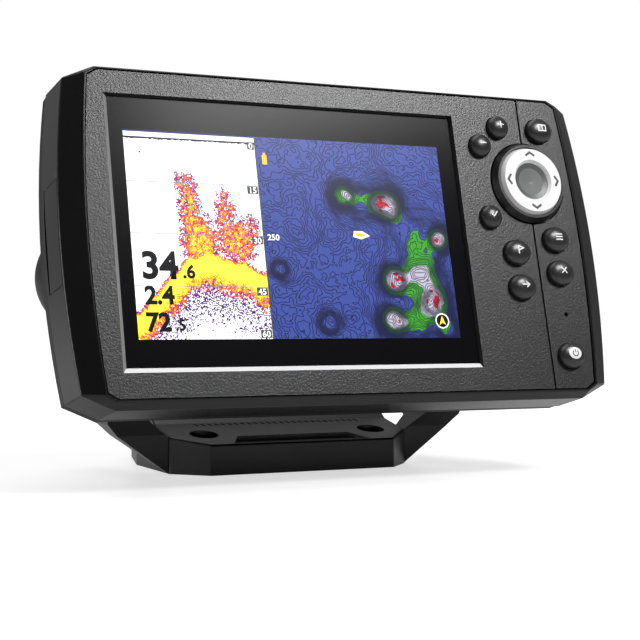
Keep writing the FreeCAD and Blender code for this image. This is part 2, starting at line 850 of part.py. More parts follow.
def cursor_cradle():
    front = guide_back - cradle_thick
    cradle = rod(cradle_r, V(cursor_x, front, cursor_z), BACK, cradle_thick)
    cradle = cradle.cut(rod(cradle_hole_r, V(cursor_x, front - 1, cursor_z), BACK, cradle_thick + 2))
    for side in (1, -1):
        near = yoke_r + yoke_ear_gap
        low, high = sorted((side * near, side * (cradle_hole_r + 0.5)))
        cradle = cradle.fuse(box(cursor_x + low, cursor_x + high, yoke_depth - yoke_thick / 2, guide_back,
                                 cursor_z - yoke_ear_half, cursor_z + yoke_ear_half))
    reach = cradle_r + 1
    bore_start = V(cursor_x - reach, yoke_depth, cursor_z)
    return cradle.cut(rod(yoke_pin_r + yoke_pin_gap, bore_start, ACROSS, 2 * reach))


# ---------------------------------------------------------------- electronics
def main_board():
    half_x = main_board_width / 2
    half_z = main_board_height / 2
    board = box(-half_x, half_x, main_board_depth, main_board_back, -half_z, half_z)
    for x, z in main_post_places():
        board = board.cut(rod(screw_r, V(x, main_board_depth - 1, z), BACK, board_thick + 2))
    return board


def board_screws():
    """Four screws that hold the main board to the housing's posts."""
    screws = []
    for x, z in main_post_places():
        head = rod(screw_head_r, V(x, main_board_depth - screw_head_thick, z), BACK, screw_head_thick)
        shank = rod(screw_r - screw_slack, V(x, main_board_depth - screw_lap, z), BACK,
                    board_thick + screw_past_board)
        screws.append(head.fuse(shank))
    return group(screws)


def shield_cans():
    cans = []
    for left, right in can_spans:
        can = box(left, right, main_board_back, can_back, can_low, can_high)
        cans.append(can.cut(box(left + can_wall, right - can_wall, main_board_back - 1, can_back - can_wall,
                                can_low + can_wall, can_high - can_wall)))
    return group(cans)


def buzzer():
    return rod(buzzer_r, V(post_x, main_board_back, -post_z / 2), BACK, buzzer_long)


def gps_antenna():
    half = antenna_side / 2
    return box(-half, half, main_board_back, main_board_back + antenna_thick,
               antenna_low, antenna_low + antenna_side)


def sonar_post_places():
    return [(x, z - sonar_drop) for x in (-sonar_post_x, sonar_post_x) for z in (-sonar_post_z, sonar_post_z)]


def sonar_board():
    half_x = sonar_board_width / 2
    half_z = sonar_board_height / 2
    board = box(-half_x, half_x, sonar_board_depth, sonar_board_back,
                -half_z - sonar_drop, half_z - sonar_drop)
    for x, z in sonar_post_places():
        board = board.cut(rod(screw_r, V(x, sonar_board_depth - 1, z), BACK, board_thick + 2))
    return board


def sonar_screws():
    screws = []
    for x, z in sonar_post_places():
        head = rod(screw_head_r, V(x, sonar_board_depth - screw_head_thick, z), BACK, screw_head_thick)
        shank = rod(screw_r - screw_slack, V(x, sonar_board_depth - screw_lap, z), BACK,
                    board_thick + screw_past_board)
        screws.append(head.fuse(shank))
    return group(screws)


def sonar_transformers():
    """Two potted ferrite cores, one for each sonar beam, between the board and the heat spreader."""
    cores = []
    length = block_inner_rear - spreader_thick - mat_gap - sonar_board_back
    for x in (-core_x, core_x):
        core = rod(core_r, V(x, sonar_board_back, core_z), BACK, length)
        cores.append(core.cut(rod(core_hole_r, V(x, sonar_board_back + 2, core_z), BACK, length)))
    return group(cores)


def capacitors():
    cans = []
    for x in (-capacitor_x, capacitor_x):
        cans.append(rod(capacitor_r, V(x, sonar_board_depth - capacitor_long, 0), BACK, capacitor_long))
    return group(cans)


def heat_spreader():
    """An aluminium plate against the rear wall, behind the transformers."""
    half_x = spreader_width / 2
    half_z = spreader_height / 2
    back = block_inner_rear
    return box(-half_x, half_x, back - spreader_thick, back, core_z - half_z, core_z + half_z)


# ---------------------------------------------------------------- rear of the head
def strip_shape():
    return grown(bezel_rear_shape, -parting_step)


def housing_outer():
    return stack((strip_shape(), parting_depth), (strip_shape(), strip_depth),
                 (block_front_shape, block_front_depth), (block_rear_shape, block_rear_depth))


def housing_inner():
    strip_inner_depth = strip_depth - shell_wall
    hollow = stack((grown(strip_shape(), -shell_wall), strip_inner_depth),
                   (grown(block_front_shape, -shell_wall), panel_inner_depth),
                   (grown(block_rear_shape, -shell_wall), block_inner_rear))
    return hollow.fuse(prism(grown(band_shape, -flange_wide), parting_depth - 1, strip_inner_depth + 0.1))


def seal_ring(clear):
    outer = grown(band_shape, -seal_inset + clear)
    inner = grown(band_shape, -seal_inset - seal_wide - clear)
    ring = prism(outer, parting_depth, parting_depth + seal_deep)
    return ring.cut(prism(inner, parting_depth - 1, parting_depth + seal_deep + 1))


def housing_seal():
    return seal_ring(0)


def socket_places():
    return {"power_socket": -socket_x, "transducer_socket": socket_x}


def housing_shell(front, back):
    """The housing's wall between two depths."""
    return housing_outer().cut(housing_inner()).common(prism(grown(band_shape, strip_depth), front, back))


def main_post_places():
    return [(x, z) for x in (-post_x, post_x) for z in (-post_z, post_z)]


def housing_frame():
    """The shallow front of the housing: the strip that meets the bezel and the panel behind it."""
    frame = housing_shell(parting_depth - 1, block_front_depth)
    for x, z in main_post_places():
        frame = frame.fuse(rod(post_r, V(x, main_board_back, z), BACK, panel_inner_depth - main_board_back))
        frame = frame.cut(rod(screw_r, V(x, main_board_depth, z), BACK, screw_bite))
    seat = strip_depth - screw_seat_in
    for x, z in case_screw_places():
        frame = frame.fuse(rod(screw_rear_boss_r, V(x, parting_depth, z), BACK, strip_depth - parting_depth))
        frame = frame.cut(rod(screw_r + screw_gap, V(x, parting_depth - 1, z), BACK, block_front_depth))
        frame = frame.cut(rod(screw_head_r + screw_gap, V(x, seat, z), BACK, block_front_depth))
    return frame.cut(seal_ring(0.0))


def rear_housing():
    """The block between the arms, with the bosses that it tilts on and the ribs on its back."""
    block = housing_shell(block_front_depth, block_rear_depth + 1)
    for x, z in sonar_post_places():
        block = block.fuse(rod(post_r, V(x, sonar_board_back, z), BACK,
                               block_rear_depth - shell_wall / 2 - sonar_board_back))
        block = block.cut(rod(screw_r, V(x, sonar_board_depth, z), BACK, screw_bite))
    for side in (1, -1):
        start = V(side * (boss_face_x - boss_long), pivot_depth, -pivot_drop)
        bore = V(side * (boss_face_x - insert_long), pivot_depth, -pivot_drop)
        block = block.fuse(rod(boss_r, start, V(side, 0, 0), boss_long))
        block = block.cut(rod(insert_r, bore, V(side, 0, 0), insert_long + 1))
    for index in range(rib_count):
        x = (index - (rib_count - 1) / 2) * rib_pitch
        block = block.fuse(box(x - rib_wide / 2, x + rib_wide / 2, block_rear_depth - shell_wall / 2,
                               block_rear_depth + rib_proud, rib_low, block_rear_top - block_cut))
    for x in socket_places().values():
        start = V(x, block_inner_rear - 1, socket_z)
        block = block.cut(rod(socket_r + socket_fit, start, BACK, 2 * shell_wall + 2))
    return block


def case_screws():
    screws = []
    for x, z in case_screw_places():
        seat = strip_depth - screw_seat_in
        head = rod(screw_head_r, V(x, seat, z), BACK, screw_head_thick)
        shank = rod(screw_r - screw_slack, V(x, ledge_back + screw_reach, z), BACK,
                    seat - ledge_back - screw_reach)
        screws.append(head.fuse(shank))
    return group(screws)


def socket(x):
    """A round rear socket: a flange outside the wall, a keyed barrel, a floor with contacts."""
    mouth = block_rear_depth + socket_proud
    floor = mouth - socket_bore_long - socket_floor_long
    body = rod(socket_r, V(x, floor - socket_floor_thick, socket_z), BACK, mouth - floor + socket_floor_thick)
    body = body.fuse(rod(socket_flange_r, V(x, block_rear_depth, socket_z), BACK, socket_flange_thick))
    body = body.cut(rod(socket_bore_r, V(x, mouth - socket_bore_long, socket_z), BACK, socket_bore_long + 1))
    body = body.cut(rod(socket_floor_r, V(x, floor, socket_z), BACK, socket_floor_long + 1))
    for dx, dz in pin_circle():
        body = body.cut(rod(socket_pin_r, V(x + dx, floor - socket_floor_thick - 1, socket_z + dz), BACK,
                            socket_floor_thick + 2))
    return body


def pin_circle():
    turn = 2 * math.pi / socket_pin_count
    return [(socket_pin_ring_r * math.sin(turn * index), socket_pin_ring_r * math.cos(turn * index))
            for index in range(socket_pin_count)]


def socket_pins():
    floor = block_rear_depth + socket_proud - socket_bore_long - socket_floor_long
    length = socket_pin_tail + socket_floor_thick + socket_floor_long - socket_pin_short
    pins = []
    for x in socket_places().values():
        for dx, dz in pin_circle():
            start = V(x + dx, floor - socket_floor_thick - socket_pin_tail, socket_z + dz)
            pins.append(rod(socket_pin_r, start, BACK, length))
    return group(pins)


def socket_nuts():
    nuts = []
    for x in socket_places().values():
        front = block_inner_rear - socket_nut_thick
        nut = rod(socket_nut_r, V(x, front, socket_z), BACK, socket_nut_thick)
        nuts.append(nut.cut(rod(socket_r, V(x, front - 1, socket_z), BACK, socket_nut_thick + 2)))
    return group(nuts)


# ---------------------------------------------------------------- tilt pivot
def ring_across(side, near, far, outer_r, inner_r):
    return turned_across([(near, inner_r), (near, outer_r), (far, outer_r), (far, inner_r)], side)


def pivot_insert(side):
    return ring_across(side, boss_face_x - insert_long, boss_face_x, insert_r, stud_r + stud_run_gap)


def tilt_washer(side):
    return ring_across(side, boss_face_x, arm_inner_x, tilt_washer_r, stud_r + arm_hole_gap)


def knob_washer(side):
    return ring_across(side, arm_outer_x, knob_face_x, knob_washer_r, stud_r + arm_hole_gap)


def knob_stud(side):
    far = knob_face_x + knob_collar_long + knob_grip_long / 2
    near = far - stud_long
    return turned_across([(near, 0), (near, stud_r - stud_tip), (near + stud_tip, stud_r),
                          (far, stud_r), (far, 0)], side)


def knob(side):
    """A fluted hand knob on a narrower collar, domed at its end."""
    grip = knob_face_x + knob_collar_long
    end = grip + knob_grip_long
    body = turned_across([(knob_face_x, 0), (knob_face_x, knob_collar_r), (grip, knob_collar_r),
                          (grip + knob_shoulder, knob_grip_r), (end, knob_grip_r), (end, 0)], side)
    dome_centre = V(side * (end - knob_dome_r), pivot_depth, -pivot_drop)
    body = body.common(Part.makeSphere(knob_dome_r, dome_centre))
    for index in range(knob_flutes):
        turn = 2 * math.pi * (index + 0.5) / knob_flutes
        out = knob_grip_r + knob_flute_r - knob_flute_bite
        start = V(side * (grip - 1), pivot_depth + out * math.sin(turn), -pivot_drop + out * math.cos(turn))
        body = body.cut(rod(knob_flute_r, start, V(side, 0, 0), knob_grip_long + 2))
    far = grip + knob_grip_long / 2
    bore_start = V(side * (knob_face_x - 1), pivot_depth, -pivot_drop)
    return body.cut(rod(stud_r, bore_start, V(side, 0, 0), far - knob_face_x + 1))


# ---------------------------------------------------------------- write every piece
os.makedirs("parts", exist_ok=True)

save("mount_bracket", mount_bracket())

save_head("outer_bezel", outer_bezel())
save_head("faceplate", faceplate())
save_head("cover_glass", cover_glass())
save_head("lcd_panel", lcd_panel())
save_head("backlight", backlight())
save_head("lcd_frame", lcd_frame())
save_head("keypad_mat", keypad_sheet(mat_front, mat_back))
save_head("light_guide", keypad_sheet(mat_back, guide_back))
save_head("keypad_board", keypad_board())
save_head("keypad_screws", keypad_screws())
save_head("cursor_cradle", cursor_cradle())
save_head("main_board", main_board())
save_head("board_screws", board_screws())
save_head("shield_cans", shield_cans())
save_head("buzzer", buzzer())
save_head("gps_antenna", gps_antenna())
save_head("sonar_board", sonar_board())
save_head("sonar_screws", sonar_screws())
save_head("sonar_transformers", sonar_transformers())
save_head("capacitors", capacitors())
save_head("heat_spreader", heat_spreader())
save_head("card_socket", card_socket())
save_head("card_door_pin", card_door_pin())
save_head("housing_frame", housing_frame())
save_head("rear_housing", rear_housing())
save_head("housing_seal", housing_seal())
save_head("case_screws", case_screws())
for socket_name, socket_at in socket_places().items():
    save_head(socket_name, socket(socket_at))
save_head("socket_pins", socket_pins())
save_head("socket_nuts", socket_nuts())

save_head("card_door", card_door())
save_head("card_door_seal", card_door_seal())
save_head("cursor_yoke", cursor_yoke())
save_head("cursor_skirt", cursor_skirt())
save_head("cursor_ring", cursor_ring())
save_head("cursor_pad", cursor_pad())
for key_name in keys:
    save_head(key_name, key(key_name))

for side_name, side_sign in (("left", -1), ("right", 1)):
    save_head("pivot_insert_" + side_name, pivot_insert(side_sign))
    save_head("tilt_washer_" + side_name, tilt_washer(side_sign))
    save_head("knob_washer_" + side_name, knob_washer(side_sign))
    save_head("knob_stud_" + side_name, knob_stud(side_sign))
    save_head("knob_" + side_name, knob(side_sign))
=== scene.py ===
import json
import math

import bpy
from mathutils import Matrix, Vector


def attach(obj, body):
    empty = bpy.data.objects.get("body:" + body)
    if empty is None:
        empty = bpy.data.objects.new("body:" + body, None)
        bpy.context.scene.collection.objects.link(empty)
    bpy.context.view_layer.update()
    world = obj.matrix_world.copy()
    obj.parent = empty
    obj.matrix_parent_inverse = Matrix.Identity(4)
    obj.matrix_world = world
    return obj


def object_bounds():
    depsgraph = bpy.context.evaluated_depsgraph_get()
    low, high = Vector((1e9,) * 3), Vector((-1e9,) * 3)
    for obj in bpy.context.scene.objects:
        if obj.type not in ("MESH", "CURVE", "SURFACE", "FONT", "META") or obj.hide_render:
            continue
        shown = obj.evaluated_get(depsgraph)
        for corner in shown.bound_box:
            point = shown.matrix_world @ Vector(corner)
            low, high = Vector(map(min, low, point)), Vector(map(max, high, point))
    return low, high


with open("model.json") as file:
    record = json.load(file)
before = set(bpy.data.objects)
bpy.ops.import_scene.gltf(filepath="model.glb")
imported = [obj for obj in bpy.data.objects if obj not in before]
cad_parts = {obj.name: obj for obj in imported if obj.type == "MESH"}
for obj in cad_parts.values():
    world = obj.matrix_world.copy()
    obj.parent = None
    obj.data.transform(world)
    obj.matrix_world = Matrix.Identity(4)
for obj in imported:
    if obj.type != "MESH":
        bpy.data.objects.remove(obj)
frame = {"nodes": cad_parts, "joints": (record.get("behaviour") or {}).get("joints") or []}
cadLow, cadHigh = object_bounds()
print("frame loaded with", len(frame["nodes"]), "nodes")

# The head leans back, so its pieces are placed along its own axes: right, back and up the face.
keyPress = next(joint for joint in frame["joints"] if joint["name"] == "key_plus_press")
headBack = Vector(keyPress["axis"]).normalized()
headRight = Vector((1, 0, 0))
headUp = headRight.cross(headBack)


def headSpan(node):  # lowest and highest (right, back, up) of a node along the head's axes
    points = [vertex.co for vertex in frame["nodes"][node].data.vertices]
    axes = (headRight, headBack, headUp)
    low = Vector([min(point.dot(axis) for point in points) for axis in axes])
    high = Vector([max(point.dot(axis) for point in points) for axis in axes])
    return low, high


def headPoint(right, back, up):
    return headRight * right + headBack * back + headUp * up


def middleOf(node):
    low, high = headSpan(node)
    return (low + high) / 2


def newObject(name, mesh, material, body):
    piece = bpy.data.objects.new(name, mesh)
    bpy.context.scene.collection.objects.link(piece)
    mesh.materials.append(material)
    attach(piece, body)


plateLow, plateHigh = headSpan("faceplate")
plateCentre = headPoint((plateLow.x + plateHigh.x) / 2, plateLow.y, (plateLow.z + plateHigh.z) / 2)

class Wiring:  # short ways to add and join nodes in one tree
    def __init__(self, tree):
        self.tree = tree

    def add(self, kind, **settings):
        node = self.tree.nodes.new(kind)
        for name, value in settings.items():
            setattr(node, name, value)
        return node

    def put(self, socket, value):
        if isinstance(value, bpy.types.NodeSocket):
            self.tree.links.new(value, socket)
        else:
            socket.default_value = value

    def math(self, operation, *values):
        node = self.add("ShaderNodeMath", operation=operation)
        for socket, value in zip(node.inputs, values):
            self.put(socket, value)
        return node.outputs[0]

    def mix(self, share, first, second):
        node = self.add("ShaderNodeMix")
        self.put(node.inputs[0], share)
        self.put(node.inputs[2], first)
        self.put(node.inputs[3], second)
        return node.outputs[0]

    def mixColour(self, share, first, second):
        node = self.add("ShaderNodeMix", data_type="RGBA")
        self.put(node.inputs[0], share)
        self.put(node.inputs[6], first)
        self.put(node.inputs[7], second)
        return node.outputs[2]

    def band(self, value, low, high, first=0.0, last=1.0):  # first below low, last above high
        node = self.add("ShaderNodeMapRange")
        self.put(node.inputs["Value"], value)
        self.put(node.inputs["From Min"], low)
        self.put(node.inputs["From Max"], high)
        self.put(node.inputs["To Min"], first)
        self.put(node.inputs["To Max"], last)
        return node.outputs[0]

    def noise(self, vector, scale, detail=2.0, roughness=0.5):
        node = self.add("ShaderNodeTexNoise")
        self.put(node.inputs["Vector"], vector)
        self.put(node.inputs["Scale"], scale)
        self.put(node.inputs["Detail"], detail)
        self.put(node.inputs["Roughness"], roughness)
        return node.outputs[0]

    def group(self, tree, **values):
        node = self.add("ShaderNodeGroup", node_tree=tree)
        for name, value in values.items():
            self.put(node.inputs[name], value)
        return node.outputs


cameraView = {
    "fromPlate": (-0.20475, -0.40842, -0.02628),
    "turn": 25.3,
    "focalLength": 81.56,
    "sensorWide": 36,
    "seesFrom": 0.02,
    "seesTo": 30,
}


def makeCamera():
    data = bpy.data.cameras.new("camera")
    data.lens = cameraView["focalLength"]
    data.sensor_width = cameraView["sensorWide"]
    data.clip_start = cameraView["seesFrom"]
    data.clip_end = cameraView["seesTo"]
    camera = bpy.data.objects.new("camera", data)
    bpy.context.scene.collection.objects.link(camera)
    camera.location = plateCentre + Vector(cameraView["fromPlate"])
    camera.rotation_euler = (math.radians(90), 0, math.radians(-cameraView["turn"]))
    bpy.context.scene.camera = camera


makeCamera()
print("camera placed")

studio = {
    "floorSize": 12.0,
    "floorGap": 0.0001,
    "floorColour": (0.56, 0.56, 0.56, 1),
    # lower floor glow near the object: painted shade around it, on top of its real shadow
    "floorLift": 0.64,
    "farLift": 0.97,
    "liftRises": (0.11, 0.24),
    "mirroredShare": 0.26,
    "floorRoughness": 0.32,
    "skyForLight": 0.22,
    "skyMirrored": 0.30,
    "skyBehindCamera": 0.04,
    "skyFades": (-0.55, 0.25),
    "lamps": {
        "overhead": {"at": (-0.10, 0.0, 1.10), "size": (1.1, 0.8), "power": 6.0},
        "aboveFront": {"at": (0.36, -0.66, 0.68), "size": (0.34, 0.20), "power": 7.0},
        "leftSide": {"at": (-1.1, 0.15, 0.12), "size": (0.5, 0.5), "power": 4.5},
    },
}


def makeFloor():
    size = studio["floorSize"]
    mesh = bpy.data.meshes.new("floor")
    corners = [(-size, -size, 0), (size, -size, 0), (size, size, 0), (-size, size, 0)]
    mesh.from_pydata(corners, [], [(0, 1, 2, 3)])
    floor = bpy.data.objects.new("floor", mesh)
    floor.location.z = cadLow.z - studio["floorGap"]
    bpy.context.scene.collection.objects.link(floor)
    material = bpy.data.materials.new("floor")
    material.use_nodes = True
    wire = Wiring(material.node_tree)
    nodes = material.node_tree.nodes
    shader = nodes["Principled BSDF"]
    shader.inputs["Base Color"].default_value = studio["floorColour"]
    shader.inputs["Roughness"].default_value = studio["floorRoughness"]
    reach = wire.add("ShaderNodeVectorMath", operation="LENGTH")
    wire.put(reach.inputs[0], wire.add("ShaderNodeTexCoord").outputs["Object"])
    # the floor's own glow is weaker near the object, a painted shade around it added to its real shadow, and
    # plain white further away
    rise = wire.band(reach.outputs["Value"], *studio["liftRises"], studio["floorLift"], studio["farLift"])
    lift = wire.add("ShaderNodeEmission")
    wire.put(lift.inputs["Strength"], wire.math("MULTIPLY", seenByEye(wire), rise))
    both = wire.add("ShaderNodeAddShader")
    wire.put(both.inputs[0], shader.outputs[0])
    wire.put(both.inputs[1], lift.outputs[0])
    wire.put(nodes["Material Output"].inputs["Surface"], both.outputs[0])
    mesh.materials.append(material)


def seenByEye(wire):  # 1 for camera and transmitted rays, a share for glossy ones
    path = wire.add("ShaderNodeLightPath").outputs
    share = wire.math("MULTIPLY", path["Is Glossy Ray"], studio["mirroredShare"])
    return wire.math("MAXIMUM", wire.math("MAXIMUM", path["Is Camera Ray"], share), path["Is Transmission Ray"])


def makeWorld():
    world = bpy.data.worlds.new("studio")
    bpy.context.scene.world = world
    world.use_nodes = True
    wire = Wiring(world.node_tree)
    background = world.node_tree.nodes["Background"]
    path = wire.add("ShaderNodeLightPath").outputs
    split = wire.add("ShaderNodeSeparateXYZ")
    wire.put(split.inputs[0], wire.add("ShaderNodeTexCoord").outputs["Generated"])
    # the room is dimmer in front of the object
    levels = (studio["skyBehindCamera"], studio["skyMirrored"])
    mirrored = wire.band(split.outputs["Y"], *studio["skyFades"], *levels)
    glossy = wire.mix(path["Is Glossy Ray"], studio["skyForLight"], mirrored)
    clear = wire.math("MAXIMUM", path["Is Camera Ray"], path["Is Transmission Ray"])
    background.inputs["Color"].default_value = (1, 1, 1, 1)
    wire.put(background.inputs["Strength"], wire.mix(clear, glossy, 1.0))


def makeLamps():
    for name, values in studio["lamps"].items():
        data = bpy.data.lights.new(name, "AREA")
        data.shape = "RECTANGLE"
        data.size, data.size_y = values["size"]
        data.energy = values["power"]
        lamp = bpy.data.objects.new(name, data)
        bpy.context.scene.collection.objects.link(lamp)
        lamp.location = values["at"]
        lamp.rotation_euler = (plateCentre - lamp.location).to_track_quat("-Z", "Y").to_euler()


makeFloor()
makeWorld()
makeLamps()
bpy.context.scene.view_settings.view_transform = "Standard"
print("studio ready")


def newGroup(name, inputs, outputs):
    tree = bpy.data.node_groups.new(name, "ShaderNodeTree")
    for label, kind in inputs:
        tree.interface.new_socket(label, in_out="INPUT", socket_type=kind)
    for label, kind in outputs:
        tree.interface.new_socket(label, in_out="OUTPUT", socket_type=kind)
    start = tree.nodes.new("NodeGroupInput")
    end = tree.nodes.new("NodeGroupOutput")
    return tree, Wiring(tree), start.outputs, end.inputs


moulding = {"layers": 3.0, "fineRough": 0.6, "slow": 22.0, "slowRough": 0.55, "drift": 0.18}


def makeGrainGroup():
    tree, wire, given, out = newGroup(
        "mouldedGrain",
        [("Grain", "NodeSocketFloat"), ("Colour", "NodeSocketColor"), ("Fleck", "NodeSocketFloat"),
         ("Gloss", "NodeSocketFloat"), ("Spread", "NodeSocketFloat")],
        [("Colour", "NodeSocketColor"), ("Roughness", "NodeSocketFloat"), ("Height", "NodeSocketFloat")])
    place = wire.add("ShaderNodeTexCoord").outputs["Object"]
    fine = wire.noise(place, given["Grain"], moulding["layers"], moulding["fineRough"])
    slow = wire.noise(place, moulding["slow"], moulding["layers"], moulding["slowRough"])
    fleck = wire.math("MULTIPLY", wire.math("SUBTRACT", fine, 0.5), given["Fleck"])
    drift = wire.math("MULTIPLY", wire.math("SUBTRACT", slow, 0.5), moulding["drift"])
    bright = wire.math("ADD", wire.math("ADD", 1.0, fleck), drift)
    tint = wire.add("ShaderNodeVectorMath", operation="SCALE")
    wire.put(tint.inputs[0], given["Colour"])
    wire.put(tint.inputs["Scale"], bright)
    wire.put(out["Colour"], tint.outputs[0])
    rough = wire.math("MULTIPLY", wire.math("SUBTRACT", slow, 0.5), given["Spread"])
    wire.put(out["Roughness"], wire.math("ADD", given["Gloss"], rough))
    wire.put(out["Height"], fine)
    return tree


grainGroup = makeGrainGroup()

finishes = {
    "facePlastic": {"colour": (0.017, 0.017, 0.018, 1), "grain": 1500, "fleck": 0.9, "gloss": 0.36,
                    "spread": 0.1, "bump": 0.00012, "specular": 0.5},
    "bezelPlastic": {"colour": (0.006, 0.006, 0.006, 1), "grain": 1500, "fleck": 0.25, "gloss": 0.24,
                     "spread": 0.08, "bump": 0.000004, "specular": 0.3},
    "lensGlass": {"colour": (0.004, 0.004, 0.005, 1), "grain": 700, "fleck": 0.1, "gloss": 0.2,
                  "spread": 0.03, "bump": 0.0, "specular": 0.08},
    "bracketPlastic": {"colour": (0.005, 0.005, 0.005, 1), "grain": 2200, "fleck": 0.4, "gloss": 0.3,
                       "spread": 0.12, "bump": 0.000018, "specular": 0.45},
    "housingPlastic": {"colour": (0.009, 0.009, 0.009, 1), "grain": 1900, "fleck": 0.5, "gloss": 0.42,
                       "spread": 0.12, "bump": 0.00003, "specular": 0.2},
    "knobPlastic": {"colour": (0.010, 0.010, 0.010, 1), "grain": 2000, "fleck": 0.5, "gloss": 0.45,
                    "spread": 0.12, "bump": 0.00002, "specular": 0.35},
    "keyRubber": {"colour": (0.020, 0.020, 0.021, 1), "grain": 3000, "fleck": 0.4, "gloss": 0.3,
                  "spread": 0.10, "bump": 0.000008, "specular": 0.5},
    "skirtPlastic": {"colour": (0.006, 0.006, 0.006, 1), "grain": 2400, "fleck": 0.3, "gloss": 0.36,
                     "spread": 0.10, "bump": 0.000008, "specular": 0.5},
    "ringSilver": {"colour": (0.80, 0.79, 0.79, 1), "grain": 2600, "fleck": 0.06, "gloss": 0.34,
                   "spread": 0.08, "bump": 0.000004, "specular": 0.5},
    "padPlastic": {"colour": (0.085, 0.095, 0.090, 1), "grain": 2600, "fleck": 0.12, "gloss": 0.34,
                   "spread": 0.08, "bump": 0.000006, "specular": 0.5},
    "sealRubber": {"colour": (0.012, 0.012, 0.012, 1), "grain": 1600, "fleck": 0.3, "gloss": 0.75,
                   "spread": 0.12, "bump": 0.00002, "specular": 0.4},
    "mattBlack": {"colour": (0.02, 0.02, 0.02, 1), "grain": 1800, "fleck": 0.3, "gloss": 0.6,
                  "spread": 0.12, "bump": 0.00002, "specular": 0.5},
    "silicone": {"colour": (0.34, 0.34, 0.32, 1), "grain": 1500, "fleck": 0.1, "gloss": 0.55,
                 "spread": 0.1, "bump": 0.00002, "specular": 0.4},
    "lightGuide": {"colour": (0.72, 0.75, 0.78, 1), "grain": 900, "fleck": 0.05, "gloss": 0.18,
                   "spread": 0.05, "bump": 0.000004, "specular": 0.5},
    "boardLaminate": {"colour": (0.02, 0.14, 0.06, 1), "grain": 900, "fleck": 0.3, "gloss": 0.3,
                      "spread": 0.1, "bump": 0.00001, "specular": 0.5},
    "ceramic": {"colour": (0.55, 0.48, 0.33, 1), "grain": 1500, "fleck": 0.15, "gloss": 0.5,
                "spread": 0.1, "bump": 0.00001, "specular": 0.5},
    "ferrite": {"colour": (0.04, 0.04, 0.043, 1), "grain": 1500, "fleck": 0.4, "gloss": 0.6,
                "spread": 0.1, "bump": 0.00003, "specular": 0.5},
    "steel": {"colour": (0.50, 0.50, 0.50, 1), "grain": 1800, "fleck": 0.15, "gloss": 0.32,
              "spread": 0.12, "bump": 0.00001, "specular": 0.5, "metallic": 1.0},
    "tinnedSteel": {"colour": (0.62, 0.62, 0.60, 1), "grain": 1400, "fleck": 0.12, "gloss": 0.36,
                    "spread": 0.12, "bump": 0.00001, "specular": 0.5, "metallic": 1.0},
    "aluminium": {"colour": (0.70, 0.71, 0.73, 1), "grain": 1400, "fleck": 0.12, "gloss": 0.4,
                  "spread": 0.12, "bump": 0.00001, "specular": 0.5, "metallic": 1.0},
    "brass": {"colour": (0.62, 0.46, 0.20, 1), "grain": 1600, "fleck": 0.12, "gloss": 0.3,
              "spread": 0.12, "bump": 0.00001, "specular": 0.5, "metallic": 1.0},
    "socketMetal": {"colour": (0.20, 0.19, 0.17, 1), "grain": 1800, "fleck": 0.2, "gloss": 0.35,
                    "spread": 0.12, "bump": 0.00001, "specular": 0.5, "metallic": 1.0},
    "inkWhite": {"colour": (0.80, 0.80, 0.80, 1), "grain": 2500, "fleck": 0.06, "gloss": 0.45,
                 "spread": 0.06, "bump": 0.000002, "specular": 0.4},
    "inkDark": {"colour": (0.05, 0.05, 0.055, 1), "grain": 2500, "fleck": 0.1, "gloss": 0.45,
                "spread": 0.06, "bump": 0.000002, "specular": 0.4},
    # painted highlight: the bottom trim strip's light colour stands in for the overhead light reflected in it
    "trimPaintedHighlight": {"colour": (0.78, 0.78, 0.79, 1), "grain": 1500, "fleck": 0.06, "gloss": 0.25,
                   "spread": 0.06, "bump": 0.000002, "specular": 0.5},
    "trimGrey": {"colour": (0.25, 0.25, 0.25, 1), "grain": 1500, "fleck": 0.10, "gloss": 0.30,
                 "spread": 0.06, "bump": 0.000004, "specular": 0.5},
}


def makeFinish(name, values):
    material = bpy.data.materials.new(name)
    material.use_nodes = True
    wire = Wiring(material.node_tree)
    shader = material.node_tree.nodes["Principled BSDF"]
    grain = wire.group(grainGroup, Grain=values["grain"], Colour=values["colour"], Fleck=values["fleck"],
                       Gloss=values["gloss"], Spread=values["spread"])
    wire.put(shader.inputs["Base Color"], grain["Colour"])
    wire.put(shader.inputs["Roughness"], grain["Roughness"])
    shader.inputs["Specular IOR Level"].default_value = values["specular"]
    shader.inputs["Metallic"].default_value = values.get("metallic", 0.0)
    if values["bump"] > 0:
        relief = wire.add("ShaderNodeBump")
        relief.inputs["Distance"].default_value = values["bump"]
        wire.put(relief.inputs["Height"], grain["Height"])
        wire.put(shader.inputs["Normal"], relief.outputs[0])
    return material


materials = {name: makeFinish(name, values) for name, values in finishes.items()}

nodeFinish = {
    "facePlastic": ["faceplate"],
    "bezelPlastic": ["outer_bezel", "card_door"],
    "lensGlass": ["cover_glass"],
    "bracketPlastic": ["mount_bracket"],
    "housingPlastic": ["rear_housing", "housing_frame"],
    "knobPlastic": ["knob_left", "knob_right"],
    "skirtPlastic": ["cursor_skirt", "cursor_yoke"],
    "ringSilver": ["cursor_ring"],
    "padPlastic": ["cursor_pad"],
    "sealRubber": ["housing_seal", "card_door_seal", "tilt_washer_left", "tilt_washer_right",
                   "knob_washer_left", "knob_washer_right"],
    "mattBlack": ["lcd_panel", "lcd_frame", "cursor_cradle", "buzzer", "card_socket"],
    "silicone": ["keypad_mat"],
    "lightGuide": ["light_guide", "backlight"],
    "boardLaminate": ["keypad_board", "main_board", "sonar_board"],
    "ceramic": ["gps_antenna"],
    "ferrite": ["sonar_transformers"],
    "steel": ["keypad_screws", "board_screws", "sonar_screws", "case_screws", "card_door_pin",
              "knob_stud_left", "knob_stud_right"],
    "tinnedSteel": ["shield_cans"],
    "aluminium": ["capacitors", "heat_spreader"],
    "brass": ["socket_pins", "pivot_insert_left", "pivot_insert_right"],
    "socketMetal": ["power_socket", "transducer_socket", "socket_nuts"],
    "keyRubber": ["key_plus", "key_minus", "key_check", "key_view", "key_menu", "key_mark", "key_goto",
                  "key_exit", "key_power"],
}


